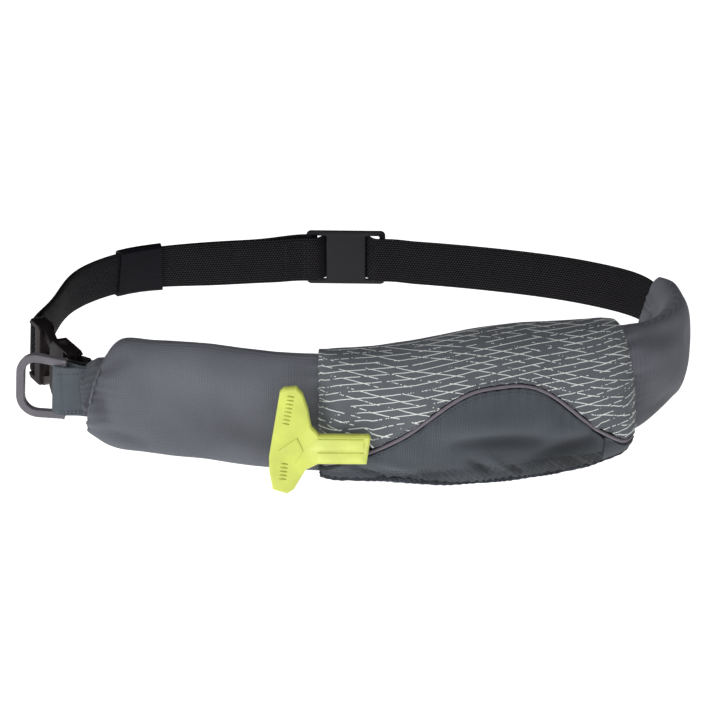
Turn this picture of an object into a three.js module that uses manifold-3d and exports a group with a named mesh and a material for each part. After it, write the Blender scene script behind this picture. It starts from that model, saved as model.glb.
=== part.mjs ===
// Inflatable belt pack: a webbing belt with a folded pouch in front, a sleeve on each side of
// the pouch, a side release buckle, a D-ring on a tab, and a pull handle.
// Millimetres, +Z up. The origin is the middle of the waist opening, at the belt's mid height.
// The pouch faces -Y, and the buckle and the long sleeve are on the -X side.
import * as THREE from 'three';
import Module from 'manifold-3d';
import { mergeVertices } from 'three/addons/utils/BufferGeometryUtils.js';

const wasm = await Module();
wasm.setup();

// Driving dimensions
const LOOP_HALF_WIDTH = 244;
const LOOP_HALF_DEPTH = 131;
const WEBBING_WIDTH = 38;
const WEBBING_THICKNESS = 2.2;
const GAP = 0.4;
const TURN_EASE = 0.8;

const BUCKLE_LENGTH = 75;
const BUCKLE_THICKNESS = 12;
const BUCKLE_SIDE = 4.4;
const BUCKLE_PLAY = 1;
const BUCKLE_CORNER = 5;
const BUCKLE_BAR = 5;
const BUCKLE_SLOT = 7;
const BUCKLE_WALL = 2.4;
const SOCKET_LENGTH = 37;
const SOCKET_SIDE = 2.6;
const SOCKET_CORNER = 7;
const WAIST_DEPTH = 6;
const WAIST_RUN = 7;
const PRONG_BLOCK = 10;
const PRONG_WIDTH = 5;
const PRONG_LOBE = 12;

const SLIDER_LENGTH = 66;
const SLIDER_PLATE = 33;
const SLIDER_END_BAR = 5;
const SLIDER_RAIL = 4.2;
const SLIDER_THICKNESS = 3.4;
const SLIDER_CORNER = 4;
const SLOT_CORNER = 1;
const SEWN_END = 26;
const STRAP_EASE = 24;
const STRAP_TAIL = 8;

const KEEPER_LENGTH = 38;
const KEEPER_WALL = 1.7;
const KEEPER_EASE = 0.9;

const POUCH_LENGTH = 219;
const POUCH_HEIGHT = 119;
const POUCH_BULGE = 47;
const POUCH_BACK = 11;
const POUCH_RIDGE = 0.3;
const POUCH_FRONT_FULLNESS = 0.84;
const POUCH_BACK_FULLNESS = 0.62;
const CLOTH = 2.4;
const SEAM_EASE = 0.8;
const SEAM_RUN = 9;
const SEAM_SLANT = 14;
const FLAP_LENGTH = 195;

const LONG_SLEEVE_LENGTH = 161;
const LONG_SLEEVE_HEIGHT = 91;
const LONG_SLEEVE_THICKNESS = 26;
const SLEEVE_END_LENGTH = 8;
const SLEEVE_END_HEIGHT = 53;
const SLEEVE_END_THICKNESS = 23.8;
const SHORT_SLEEVE_LENGTH = 158;
const SHORT_SLEEVE_HEIGHT = 98;
const SHORT_SLEEVE_THICKNESS = 28;
const END_SLANT = 14;
const MOUTH_SLANT = 25;
const SLEEVE_TUCK = 8;
const SLEEVE_FULLNESS = 0.8;
const SLEEVE_END_FULLNESS = 0.6;

const PIPING_DIAMETER = 2.8;
const PIPING_EASE = 0.3;
const PIPING_MARGIN = 0.012;
const HEM_PROUD = 1;

const RING_BAR_DIAMETER = 5.6;
const RING_STOCK = 5.8;
const RING_THICKNESS = 5;
const RING_DEPTH = 36.5;
const RING_PLAY = 1.4;
const RING_SHOULDER = 3.2;
const RING_BOW = 2;
const RING_CORNER = 15;
const TAB_REACH = 17.4;
const TAB_SLACK = 2.2;
const TAB_INSERT = 7;
const TAB_OUT = 7.7;
const TAB_RISE = -1;
const TAB_TURN = 12;
const TAB_ROLL = -5;

const HANDLE_LENGTH = 82;
const HANDLE_REACH = 70;
const HANDLE_THICKNESS = 5.5;
const HANDLE_RIDGE = 0.9;
const HANDLE_START = -34;
const HANDLE_DROP = 6;
const HANDLE_STANDOFF = 1.2;
const HANDLE_BEVEL = 1.2;
const LANYARD_DIAMETER = 3;
const LANYARD_EASE = 4.5;
const LANYARD_REACH = 60;
const LANYARD_LENGTH = 20;

// Plan of the strap's middle line, seen from above, as shares of the loop's half width and half
// depth: from the buckle along the front, round the right side and back along the rear
const PLAN = [
  { x: -0.978, y: -0.313 },
  { x: -0.815, y: -0.800 },
  { x: -0.750, y: -0.860 },
  { x: -0.410, y: -0.969 },
  { x: -0.143, y: -1.090 },
  { x: 0.123, y: -1.053 },
  { x: 0.451, y: -0.885 },
  { x: 0.779, y: -0.740 },
  { x: 0.945, y: -0.397 },
  { x: 0.983, y: -0.038 },
  { x: 0.948, y: 0.366 },
  { x: 0.779, y: 0.618 },
  { x: 0.451, y: 0.847 },
  { x: 0.000, y: 1.000 },
  { x: -0.451, y: 0.939 },
  { x: -0.758, y: 0.809 },
  { x: -0.912, y: 0.510 },
  { x: -0.957, y: 0.050 },
];

// Lean of the webbing from upright, in degrees, top outward, by share of the loop's length
const LEAN = [
  { at: 0.00, lean: -5 },
  { at: 0.06, lean: -5 },
  { at: 0.10, lean: 0 },
  { at: 0.80, lean: 0 },
  { at: 0.86, lean: -12 },
  { at: 0.93, lean: -14 },
  { at: 0.97, lean: -11 },
  { at: 1.00, lean: -5 },
];

// Sections of the pouch from its left seam: height, bulge to the front and depth to the back
const POUCH_SECTIONS = [
  { at: 0.00, height: 0.815, front: 0.74, back: 1.00, drop: 0.016 },
  { at: 0.15, height: 0.830, front: 0.80, back: 1.00, drop: 0.016 },
  { at: 0.40, height: 0.930, front: 0.96, back: 1.00, drop: 0.03 },
  { at: 0.62, height: 0.980, front: 1.00, back: 1.00, drop: 0.03 },
  { at: 0.82, height: 0.950, front: 0.93, back: 1.00, drop: 0.02 },
  { at: 1.00, height: 0.880, front: 0.76, back: 1.00, drop: 0.00 },
];

// Height of the piping above the pouch's middle, as a share of the half height there
const PIPING_RISE = [
  { at: 0.00, rise: -0.70 },
  { at: 0.06, rise: -0.52 },
  { at: 0.15, rise: -0.34 },
  { at: 0.25, rise: -0.06 },
  { at: 0.31, rise: 0.18 },
  { at: 0.38, rise: 0.39 },
  { at: 0.46, rise: 0.49 },
  { at: 0.56, rise: 0.49 },
  { at: 0.66, rise: 0.43 },
  { at: 0.74, rise: 0.27 },
  { at: 0.82, rise: -0.04 },
  { at: 0.90, rise: -0.43 },
  { at: 1.00, rise: -0.80 },
];

// Sections of the sleeves from their free ends: height, thickness and how far outward of the
// strap the middle of the section lies, as shares of the sleeve's height and thickness
const LONG_SLEEVE_SECTIONS = [
  { at: 0.00, height: 0.69, thick: 1.28, out: 0.16, drop: 0.01 },
  { at: 0.03, height: 0.85, thick: 1.25, out: 0.16, drop: 0.00 },
  { at: 0.08, height: 0.955, thick: 1.12, out: 0.17, drop: 0.00 },
  { at: 0.18, height: 0.98, thick: 1.00, out: 0.21, drop: 0.01 },
  { at: 0.50, height: 1.00, thick: 1.00, out: 0.24, drop: 0.03 },
  { at: 1.00, height: 1.00, thick: 1.00, out: 0.28, drop: 0.02 },
];
const SLEEVE_END_SECTIONS = [
  { at: 0.00, height: 0.90, thick: 1.02, out: 0.17, drop: 0.02 },
  { at: 0.50, height: 0.96, thick: 0.98, out: 0.19, drop: 0.02 },
  { at: 1.00, height: 1.00, thick: 1.00, out: 0.20, drop: 0.02 },
];
const SHORT_SLEEVE_SECTIONS = [
  { at: 0.00, height: 0.56, thick: 0.46, out: 0.04, drop: 0.000 },
  { at: 0.14, height: 0.66, thick: 0.74, out: 0.12, drop: 0.000 },
  { at: 0.40, height: 0.71, thick: 0.90, out: 0.16, drop: -0.010 },
  { at: 0.70, height: 0.79, thick: 0.96, out: 0.22, drop: -0.015 },
  { at: 1.00, height: 0.94, thick: 1.00, out: 0.28, drop: -0.015 },
];

// Outline of the pull handle, from the top of its grip clockwise: reach from the grip's back and
// rise from the middle, as shares of the handle's reach and of half its length
const HANDLE_OUTLINE = [
  { reach: 0.28, rise: 1.00 },
  { reach: 0.34, rise: 0.88 },
  { reach: 0.39, rise: 0.60 },
  { reach: 0.42, rise: 0.27 },
  { reach: 0.50, rise: 0.11 },
  { reach: 0.98, rise: 0.11 },
  { reach: 1.00, rise: 0.07 },
  { reach: 0.96, rise: -0.43 },
  { reach: 0.48, rise: -0.43 },
  { reach: 0.36, rise: -0.54 },
  { reach: 0.30, rise: -0.73 },
  { reach: 0.24, rise: -0.92 },
  { reach: 0.17, rise: -1.00 },
  { reach: 0.03, rise: -0.92 },
  { reach: 0.00, rise: -0.58 },
  { reach: 0.00, rise: -0.30 },
  { reach: 0.05, rise: 0.20 },
  { reach: 0.10, rise: 0.70 },
  { reach: 0.12, rise: 0.92 },
  { reach: 0.16, rise: 0.98 },
];

// Raised parts of the handle, as the same shares: the stem's two bars and the arrow at its root
const HANDLE_STEM = { from: 0.48, to: 0.93, low: -0.37, high: 0.05, bar: 0.17 };
const HANDLE_ARROW = [
  { reach: 0.10, rise: -0.16 },
  { reach: 0.25, rise: -0.40 },
  { reach: 0.34, rise: -0.16 },
  { reach: 0.28, rise: 0.08 },
];

const model = new THREE.Group();

// Finishes
function finish(color, roughness, metalness = 0) {
  return new THREE.MeshStandardMaterial({ color, roughness, metalness });
}
const webbingBlack = finish(0x242326, 0.9);
const webbingGrey = finish(0x565d66, 0.85);
const sleeveCloth = finish(0x67696f, 0.8);
const pouchCloth = finish(0x575c62, 0.8);
const flapCloth = finish(0x53585f, 0.8);
const hemCloth = finish(0x3e434b, 0.85);
const pipingCord = finish(0x8b858c, 0.7);
const bucklePlastic = finish(0x4e4643, 0.5);
const blackPlastic = finish(0x302f33, 0.45);
const ringPlastic = finish(0x77757c, 0.45);
const handlePlastic = finish(0xd3dd62, 0.45);
const lanyardCord = finish(0x2b2b2e, 0.85);

function addPiece(name, geometry, material) {
  const mesh = new THREE.Mesh(geometry, material);
  mesh.name = name;
  model.add(mesh);
}

// Value of one column of a table at a share, on smooth slopes that never overshoot
function column(rows, key, at) {
  const last = rows.length - 1;
  const place = THREE.MathUtils.clamp(at, rows[0].at, rows[last].at);
  let i = 0;
  while (i < last - 1 && rows[i + 1].at < place) i += 1;
  const climb = (k) => (rows[k + 1][key] - rows[k][key]) / (rows[k + 1].at - rows[k].at);
  const slope = (k) => {
    if (k === 0 || k === last) return 0;
    const before = climb(k - 1);
    const after = climb(k);
    return before * after > 0 ? (2 * before * after) / (before + after) : 0;
  };
  const span = rows[i + 1].at - rows[i].at;
  const t = (place - rows[i].at) / span;
  const hold = (2 * t - 3) * t * t + 1;
  const lift = ((t - 2) * t + 1) * t * span;
  const drop = (t - 1) * t * t * span;
  return hold * rows[i][key] + (1 - hold) * rows[i + 1][key] + lift * slope(i) + drop * slope(i + 1);
}

// The belt's line
const UP = new THREE.Vector3(0, 0, 1);
const beltLine = new THREE.CatmullRomCurve3(
  PLAN.map((row) => new THREE.Vector3(row.x * LOOP_HALF_WIDTH, row.y * LOOP_HALF_DEPTH, 0)),
  true,
  'centripetal',
);
const LINE_STEPS = 1200;

// How finely the curved pieces are cut into flats: counts, and for the strap steps in millimetres
const STRAP_STEP = 12;
const SEWN_STEP = 9;
const EASE_STEP = 6;
const TAIL_STEP = 4;
const WEAVE_STEP = 3.2;
const RUN_SPACING = 8;
const WEAVE_SPACING = 5;
const HALF_TURN_STEPS = 6;
const BAR_SIDES = 10;
const ROD_SIDES = 12;
const KEEPER_STEPS = 4;
const SLEEVE_SIDES = 22;
const SLEEVE_ROWS = 16;
const SLEEVE_END_ROWS = 4;
const PANEL_ROWS = 26;
const BACK_ROWS = 22;
const CORNER_ROWS = 5;
const BACK_SPANS = 7;
const TOP_SPANS = 11;
const FLAP_SPANS = 7;
const CORNER_SPANS = 4;
const HEM_SPANS = 3;
const PIPING_POINTS = 24;
const PIPING_SIDES = 4;
const PIPING_STEPS = 40;

beltLine.arcLengthDivisions = LINE_STEPS;
const BELT_LENGTH = beltLine.getLength();

// Distance along the belt of the point nearest to a plan position, given in shares
function nearestDistance(x, y) {
  const target = new THREE.Vector3(x * LOOP_HALF_WIDTH, y * LOOP_HALF_DEPTH, 0);
  let best = 0;
  let bestGap = Infinity;
  for (let i = 0; i < LINE_STEPS; i += 1) {
    const gap = beltLine.getPointAt(i / LINE_STEPS).distanceTo(target);
    if (gap < bestGap) {
      bestGap = gap;
      best = i;
    }
  }
  return (best / LINE_STEPS) * BELT_LENGTH;
}

// Frame of the belt at a distance along it: point, tangent, outward and the webbing's own up
function frameAt(distance) {
  const share = THREE.MathUtils.euclideanModulo(distance / BELT_LENGTH, 1);
  const point = beltLine.getPointAt(share);
  const tangent = beltLine.getTangentAt(share);
  const outward = new THREE.Vector3(tangent.y, -tangent.x, 0).normalize();
  const lean = THREE.MathUtils.degToRad(column(LEAN, 'lean', share));
  const rise = UP.clone().multiplyScalar(Math.cos(lean)).addScaledVector(outward, Math.sin(lean));
  return { point, tangent, outward, rise };
}

// Solids from points: faces are lists of indices, and the whole is turned to face outward
function solidFrom(points, faces) {
  const position = new Float32Array(points.length * 3);
  points.forEach((point, i) => point.toArray(position, i * 3));
  let volume = 0;
  faces.forEach(([a, b, c]) => {
    volume += points[a].dot(new THREE.Vector3().crossVectors(points[b], points[c]));
  });
  const index = faces.flatMap(([a, b, c]) => (volume < 0 ? [a, c, b] : [a, b, c]));
  const geometry = new THREE.BufferGeometry();
  geometry.setAttribute('position', new THREE.BufferAttribute(position, 3));
  geometry.setIndex(index);
  return geometry;
}

// A solid through rings of equal count, capped at both ends
function loft(rings) {
  const count = rings[0].length;
  const faces = [];
  for (let i = 0; i < rings.length - 1; i += 1) {
    const here = i * count;
    const next = here + count;
    for (let j = 0; j < count; j += 1) {
      const k = (j + 1) % count;
      faces.push([here + j, here + k, next + k], [here + j, next + k, next + j]);
    }
  }
  const end = (rings.length - 1) * count;
  for (let j = 1; j < count - 1; j += 1) {
    faces.push([0, j + 1, j], [end, end + j, end + j + 1]);
  }
  return solidFrom(rings.flat(), faces);
}

// A wall between an outer and an inner grid of points; around says that the rows are rings
function wall(outer, inner, around) {
  const rows = outer.length;
  const count = outer[0].length;
  const offset = rows * count;
  const faces = [];
  const quad = (a, b, c, d) => faces.push([a, b, c], [a, c, d]);
  const spans = around ? count : count - 1;
  for (let i = 0; i < rows - 1; i += 1) {
    for (let j = 0; j < spans; j += 1) {
      const a = i * count + j;
      const b = i * count + ((j + 1) % count);
      quad(a, b, b + count, a + count);
      quad(offset + a, offset + a + count, offset + b + count, offset + b);
    }
  }
  for (let j = 0; j < spans; j += 1) {
    const k = (j + 1) % count;
    const end = (rows - 1) * count;
    quad(j, offset + j, offset + k, k);
    quad(end + j, end + k, offset + end + k, offset + end + j);
  }
  if (!around) {
    for (let i = 0; i < rows - 1; i += 1) {
      const a = i * count;
      const b = a + count - 1;
      quad(a, a + count, offset + a + count, offset + a);
      quad(b, offset + b, offset + b + count, b + count);
    }
  }
  return solidFrom([...outer.flat(), ...inner.flat()], faces);
}

// A strip of webbing along plan stations, each a point with its upward width direction
function ribbon(stations, width, thickness) {
  const rings = stations.map((station, i) => {
    const before = stations[Math.max(i - 1, 0)].point;
    const after = stations[Math.min(i + 1, stations.length - 1)].point;
    const along = after.clone().sub(before).normalize();
    const through = new THREE.Vector3().crossVectors(along, station.rise).normalize();
    const corner = (side, end) => station.point.clone()
      .addScaledVector(through, (side * thickness) / 2)
      .addScaledVector(station.rise, (end * width) / 2);
    return [corner(1, 1), corner(-1, 1), corner(-1, -1), corner(1, -1)];
  });
  return loft(rings);
}

// Booleans between closed geometries
function toSolid(geometry) {
  const plain = geometry.clone();
  plain.deleteAttribute('normal');
  plain.deleteAttribute('uv');
  const merged = mergeVertices(plain, 1e-4);
  const vertProperties = new Float32Array(merged.getAttribute('position').array);
  const triVerts = new Uint32Array(merged.getIndex().array);
  return new wasm.Manifold(new wasm.Mesh({ numProp: 3, vertProperties, triVerts }));
}

function toGeometry(solid) {
  const mesh = solid.getMesh();
  const geometry = new THREE.BufferGeometry();
  geometry.setAttribute('position', new THREE.BufferAttribute(new Float32Array(mesh.vertProperties), 3));
  geometry.setIndex(Array.from(mesh.triVerts));
  return geometry;
}

function joined(first, ...others) {
  return toGeometry(others.reduce((sum, other) => sum.add(toSolid(other)), toSolid(first)));
}

function cut(body, ...tools) {
  return toGeometry(tools.reduce((left, tool) => left.subtract(toSolid(tool)), toSolid(body)));
}

// A rounded rectangle between two corners
function roundedOutline(x0, y0, x1, y1, radius) {
  const shape = new THREE.Shape();
  shape.moveTo(x0 + radius, y0);
  shape.lineTo(x1 - radius, y0);
  shape.absarc(x1 - radius, y0 + radius, radius, -Math.PI / 2, 0, false);
  shape.lineTo(x1, y1 - radius);
  shape.absarc(x1 - radius, y1 - radius, radius, 0, Math.PI / 2, false);
  shape.lineTo(x0 + radius, y1);
  shape.absarc(x0 + radius, y1 - radius, radius, Math.PI / 2, Math.PI, false);
  shape.lineTo(x0, y0 + radius);
  shape.absarc(x0 + radius, y0 + radius, radius, Math.PI, Math.PI * 1.5, false);
  return shape;
}

// A flat moulding of an outline, centred on its own plane, with a small bevel all round
function moulding(shape, thickness, bevel) {
  const geometry = new THREE.ExtrudeGeometry(shape, {
    depth: thickness - 2 * bevel,
    bevelEnabled: bevel > 0,
    bevelThickness: bevel,
    bevelSize: bevel,
    bevelOffset: -bevel,
    bevelSegments: 1,
    curveSegments: 2,
    steps: 1,
  });
  geometry.translate(0, 0, -thickness / 2 + bevel);
  return geometry;
}

function block(x0, x1, y0, y1, z0, z1) {
  const geometry = new THREE.BoxGeometry(x1 - x0, y1 - y0, z1 - z0);
  geometry.translate((x0 + x1) / 2, (y0 + y1) / 2, (z0 + z1) / 2);
  return geometry;
}

// A round bar along y, at a place along x
function crossBar(x, diameter, length) {
  const geometry = new THREE.CylinderGeometry(diameter / 2, diameter / 2, length, BAR_SIDES);
  geometry.translate(x, 0, 0);
  return geometry;
}

// Puts a moulding, drawn with x along the belt and y upward, into place; its z faces outward
function seat(geometry, point, along, rise) {
  const out = new THREE.Vector3().crossVectors(along, rise).normalize();
  const frame = new THREE.Matrix4().makeBasis(along, rise, out).setPosition(point);
  return geometry.applyMatrix4(frame);
}

// Places of the pieces, as distances along the belt
const buckleMiddle = nearestDistance(-0.898, -0.556);
const barReach = (BUCKLE_LENGTH - BUCKLE_BAR) / 2;
const longSleeveStart = nearestDistance(-0.743, -0.865);
const sleeveEndStart = longSleeveStart - SLEEVE_END_LENGTH;
const pouchStart = longSleeveStart + LONG_SLEEVE_LENGTH;
const pouchEnd = pouchStart + POUCH_LENGTH;
const shortSleeveEnd = pouchEnd + SHORT_SLEEVE_LENGTH;
const sliderMiddle = nearestDistance(-0.03, 1);
const keeperMiddle = nearestDistance(-0.727, 0.83);

// Layers of webbing: the strap's own layer is on the belt's line, the returning one outside it
const layerStep = WEBBING_THICKNESS + GAP;
const turnRadius = (BUCKLE_BAR + WEBBING_THICKNESS) / 2 + TURN_EASE;
const endLoopRadius = (SLIDER_THICKNESS + WEBBING_THICKNESS) / 2 + TURN_EASE;
const sliderOut = layerStep + endLoopRadius;
const overPlate = sliderOut + endLoopRadius;

// Buckle: a straight chord of the belt's line
const backBar = frameAt(buckleMiddle - barReach).point;
const frontBar = frameAt(buckleMiddle + barReach).point;
const buckleAlong = frontBar.clone().sub(backBar).normalize();
const buckleCentre = frontBar.clone().add(backBar).multiplyScalar(0.5);
const buckleLean = THREE.MathUtils.degToRad(LEAN[0].lean);
const buckleRise = UP.clone().multiplyScalar(Math.cos(buckleLean))
  .addScaledVector(new THREE.Vector3(buckleAlong.y, -buckleAlong.x, 0), Math.sin(buckleLean));
const buckleThrough = new THREE.Vector3().crossVectors(buckleAlong, buckleRise).normalize();

// The belt runs straight through the slider and eases back into its own line past the ends
const sliderPlace = frameAt(sliderMiddle);
function throughSlider(distance) {
  const frame = frameAt(distance);
  const past = Math.abs(distance - sliderMiddle) - SLIDER_LENGTH / 2;
  const hold = 1 - THREE.MathUtils.smoothstep(past, 0, SEWN_END);
  const off = frame.point.clone().sub(sliderPlace.point).dot(sliderPlace.outward);
  frame.point.addScaledVector(sliderPlace.outward, -off * hold);
  frame.outward.lerp(sliderPlace.outward, hold).normalize();
  return frame;
}

// How far outward the strap's own layer runs at a distance from the slider's middle
function weaveAt(fromSlider) {
  const near = SLIDER_PLATE / 2;
  const far = SLIDER_LENGTH / 2 - SLIDER_END_BAR - endLoopRadius;
  return overPlate * (1 - THREE.MathUtils.smoothstep(Math.abs(fromSlider), near, far));
}

// A half turn of webbing round a bar: side is the way the turn bulges along the belt
function halfTurn(placeAt, radius, side, from) {
  const stations = [];
  for (let i = 0; i <= HALF_TURN_STEPS; i += 1) {
    const angle = (Math.PI * i) / HALF_TURN_STEPS;
    stations.push(placeAt(side * Math.sin(angle) * radius, from * Math.cos(angle) * radius));
  }
  return stations;
}

// Strap: one length of webbing, from its end on the slider out to the buckle and all the way round
function strapStations() {
  const stations = [];
  const stationAt = (distance, out) => {
    const frame = throughSlider(distance);
    return { point: frame.point.addScaledVector(frame.outward, out), rise: frame.rise };
  };
  const run = (from, to, step, outAt) => {
    const count = Math.max(2, Math.round(Math.abs(to - from) / step));
    for (let i = 0; i <= count; i += 1) {
      const distance = THREE.MathUtils.lerp(from, to, i / count);
      stations.push(stationAt(distance, outAt(distance)));
    }
  };
  const turnAt = (barSide, side, from) => {
    const place = (along, out) => ({
      point: buckleCentre.clone()
        .addScaledVector(buckleAlong, barSide * barReach + along)
        .addScaledVector(buckleThrough, out),
      rise: buckleRise,
    });
    stations.push(...halfTurn(place, turnRadius, side, from));
  };
  const slotEdge = sliderMiddle + SLIDER_LENGTH / 2 - SLIDER_END_BAR;
  const clear = turnRadius + GAP;
  const buckleBack = BELT_LENGTH + buckleMiddle - barReach;
  const buckleFront = buckleMiddle + barReach;

  run(slotEdge + SEWN_END, slotEdge, SEWN_STEP, () => sliderOut - endLoopRadius);
  stations.push(...halfTurn(
    (along, out) => stationAt(slotEdge + along, sliderOut + out),
    endLoopRadius,
    -1,
    -1,
  ));
  run(slotEdge, buckleBack - clear, STRAP_STEP, (distance) => {
    const nearSlider = THREE.MathUtils.smoothstep(
      distance,
      slotEdge + SLIDER_END_BAR,
      slotEdge + SEWN_END + STRAP_EASE,
    );
    const nearBuckle = THREE.MathUtils.smoothstep(
      distance,
      buckleBack - STRAP_EASE,
      buckleBack - clear,
    );
    const settled = THREE.MathUtils.lerp(overPlate, layerStep, nearSlider);
    return THREE.MathUtils.lerp(settled, turnRadius, nearBuckle);
  });
  turnAt(-1, 1, 1);
  run(buckleBack - clear, sliderMiddle + SLIDER_LENGTH, STRAP_STEP, (distance) => (
    -turnRadius * THREE.MathUtils.smoothstep(distance, buckleBack - STRAP_EASE, buckleBack - clear)
  ));
  const weaveFrom = sliderMiddle + SLIDER_LENGTH;
  const weaveTo = sliderMiddle - SLIDER_LENGTH;
  run(weaveFrom - WEAVE_SPACING, weaveTo, WEAVE_STEP, (distance) => (
    weaveAt(distance - sliderMiddle)
  ));
  const easeFrom = buckleFront + STRAP_EASE;
  run(weaveTo - RUN_SPACING, easeFrom + RUN_SPACING, STRAP_STEP, () => 0);
  run(easeFrom, buckleFront + clear, EASE_STEP, (distance) => (
    turnRadius * THREE.MathUtils.smoothstep(easeFrom - distance, 0, STRAP_EASE - clear)
  ));
  turnAt(1, -1, 1);
  run(buckleFront + clear, buckleFront + clear + STRAP_TAIL, TAIL_STEP, () => -turnRadius);
  return stations;
}
addPiece('strap', ribbon(strapStations(), WEBBING_WIDTH, WEBBING_THICKNESS), webbingBlack);

// Slider: a flat frame with a wide middle plate between two slots
function sliderFrame() {
  const half = WEBBING_WIDTH / 2 + GAP;
  const outline = roundedOutline(
    -SLIDER_LENGTH / 2,
    -half - SLIDER_RAIL,
    SLIDER_LENGTH / 2,
    half + SLIDER_RAIL,
    SLIDER_CORNER,
  );
  const slotOuter = SLIDER_LENGTH / 2 - SLIDER_END_BAR;
  [-1, 1].forEach((side) => {
    const ends = [side * slotOuter, (side * SLIDER_PLATE) / 2].sort((a, b) => a - b);
    outline.holes.push(roundedOutline(ends[0], -half, ends[1], half, SLOT_CORNER));
  });
  const point = sliderPlace.point.clone().addScaledVector(sliderPlace.outward, sliderOut);
  const plate = moulding(outline, SLIDER_THICKNESS, SLIDER_THICKNESS / 5);
  return seat(plate, point, sliderPlace.tangent, sliderPlace.rise);
}
addPiece('strap_slider', sliderFrame(), blackPlastic);

// Keeper: a flat band round both layers of the strap
function keeperBand() {
  const clearance = KEEPER_EASE;
  const inside = -WEBBING_THICKNESS / 2 - clearance;
  const outside = layerStep + WEBBING_THICKNESS / 2 + clearance;
  const half = WEBBING_WIDTH / 2 + clearance;
  const ringAt = (frame, grow) => {
    const corner = (out, up) => frame.point.clone()
      .addScaledVector(frame.outward, out)
      .addScaledVector(frame.rise, up);
    const low = inside - grow;
    const high = outside + grow;
    const top = half + grow;
    const chamfer = grow > 0 ? KEEPER_WALL : KEEPER_WALL / 4;
    return [
      corner(high, top - chamfer), corner(high - chamfer, top),
      corner(low + chamfer, top), corner(low, top - chamfer),
      corner(low, chamfer - top), corner(low + chamfer, -top),
      corner(high - chamfer, -top), corner(high, chamfer - top),
    ];
  };
  const outer = [];
  const inner = [];
  for (let i = 0; i <= KEEPER_STEPS; i += 1) {
    const frame = frameAt(keeperMiddle + (i / KEEPER_STEPS - 0.5) * KEEPER_LENGTH);
    outer.push(ringAt(frame, KEEPER_WALL));
    inner.push(ringAt(frame, 0));
  }
  return wall(outer, inner, true);
}
addPiece('strap_keeper', keeperBand(), blackPlastic);

// Buckle: lengths run along the belt from the buckle's middle, the prongs at its back end
const buckleEnd = BUCKLE_LENGTH / 2;
const slotHalf = WEBBING_WIDTH / 2 + BUCKLE_PLAY;
const baseHalf = slotHalf + BUCKLE_SIDE;
const socketHalf = slotHalf + SOCKET_SIDE;
const socketMouth = buckleEnd - SOCKET_LENGTH;
const cavityHalf = socketHalf - WAIST_DEPTH - BUCKLE_WALL;
const cavityDepth = BUCKLE_THICKNESS - 2 * BUCKLE_WALL;
const prongDepth = cavityDepth - 2 * GAP;
const prongEdge = cavityHalf - GAP;
const barLength = 2 * slotHalf + BUCKLE_WALL;
const windowStart = socketMouth + WAIST_RUN;
const windowEnd = windowStart + PRONG_LOBE + 2 * GAP;

function placeBuckle(geometry) {
  return seat(geometry, buckleCentre, buckleAlong, buckleRise);
}

// The same outline on both sides of the buckle's middle line, from points of the upper side
function mirrored(points) {
  const lower = points.map((point) => new THREE.Vector2(point.x, -point.y)).reverse();
  return new THREE.Shape([...points, ...lower]);
}

function buckleSocket() {
  const bevel = BUCKLE_WALL / 2;
  const outline = mirrored([
    new THREE.Vector2(socketMouth, socketHalf - WAIST_DEPTH),
    new THREE.Vector2(windowStart - bevel, socketHalf),
    new THREE.Vector2(buckleEnd - SOCKET_CORNER, socketHalf),
    new THREE.Vector2(buckleEnd - SOCKET_CORNER / 4, socketHalf - SOCKET_CORNER / 3),
    new THREE.Vector2(buckleEnd, socketHalf - SOCKET_CORNER),
  ]);
  const body = moulding(outline, BUCKLE_THICKNESS, bevel);
  const barStart = buckleEnd - BUCKLE_BAR - BUCKLE_SLOT;
  const deep = BUCKLE_THICKNESS;
  const slot = block(barStart, buckleEnd + bevel, -slotHalf, slotHalf, -deep, deep);
  const cavity = block(
    socketMouth - bevel,
    barStart - BUCKLE_WALL,
    -cavityHalf,
    cavityHalf,
    -cavityDepth / 2,
    cavityDepth / 2,
  );
  const window = block(
    windowStart,
    windowEnd,
    -baseHalf,
    baseHalf,
    -cavityDepth / 2,
    cavityDepth / 2,
  );
  const bar = crossBar(barReach, BUCKLE_BAR, barLength);
  return placeBuckle(joined(cut(body, slot, cavity, window), bar));
}
addPiece('buckle_socket', buckleSocket(), bucklePlastic);

function buckleProngs() {
  const blockEnd = BUCKLE_BAR + BUCKLE_SLOT + PRONG_BLOCK - buckleEnd;
  const bevel = BUCKLE_WALL / 2;
  const deep = BUCKLE_THICKNESS;
  const outline = roundedOutline(-buckleEnd, -baseHalf, blockEnd, baseHalf, BUCKLE_CORNER);
  const base = moulding(outline, BUCKLE_THICKNESS, bevel);
  const slot = block(-buckleEnd - bevel, blockEnd - PRONG_BLOCK, -slotHalf, slotHalf, -deep, deep);
  const bar = crossBar(-barReach, BUCKLE_BAR, barLength);
  const inner = prongEdge - PRONG_WIDTH;
  const root = blockEnd - PRONG_BLOCK / 2;
  const arm = new THREE.Shape([
    new THREE.Vector2(root, baseHalf - bevel),
    new THREE.Vector2(blockEnd, baseHalf - bevel),
    new THREE.Vector2(socketMouth - GAP, prongEdge),
    new THREE.Vector2(windowStart + GAP, prongEdge),
    new THREE.Vector2(windowStart + GAP, socketHalf - bevel),
    new THREE.Vector2(windowStart + PRONG_LOBE / 2, socketHalf - bevel),
    new THREE.Vector2(windowEnd - GAP, prongEdge),
    new THREE.Vector2(windowEnd - GAP, inner),
    new THREE.Vector2(socketMouth - GAP, inner),
    new THREE.Vector2(root, baseHalf - bevel - PRONG_WIDTH),
  ]);
  const upper = moulding(arm, prongDepth, 0);
  const lower = upper.clone().rotateX(Math.PI);
  const guide = block(
    root,
    windowEnd - GAP,
    -PRONG_WIDTH / 2,
    PRONG_WIDTH / 2,
    -prongDepth / 3,
    prongDepth / 3,
  );
  return placeBuckle(joined(cut(base, slot), bar, guide, upper, lower));
}
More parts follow.
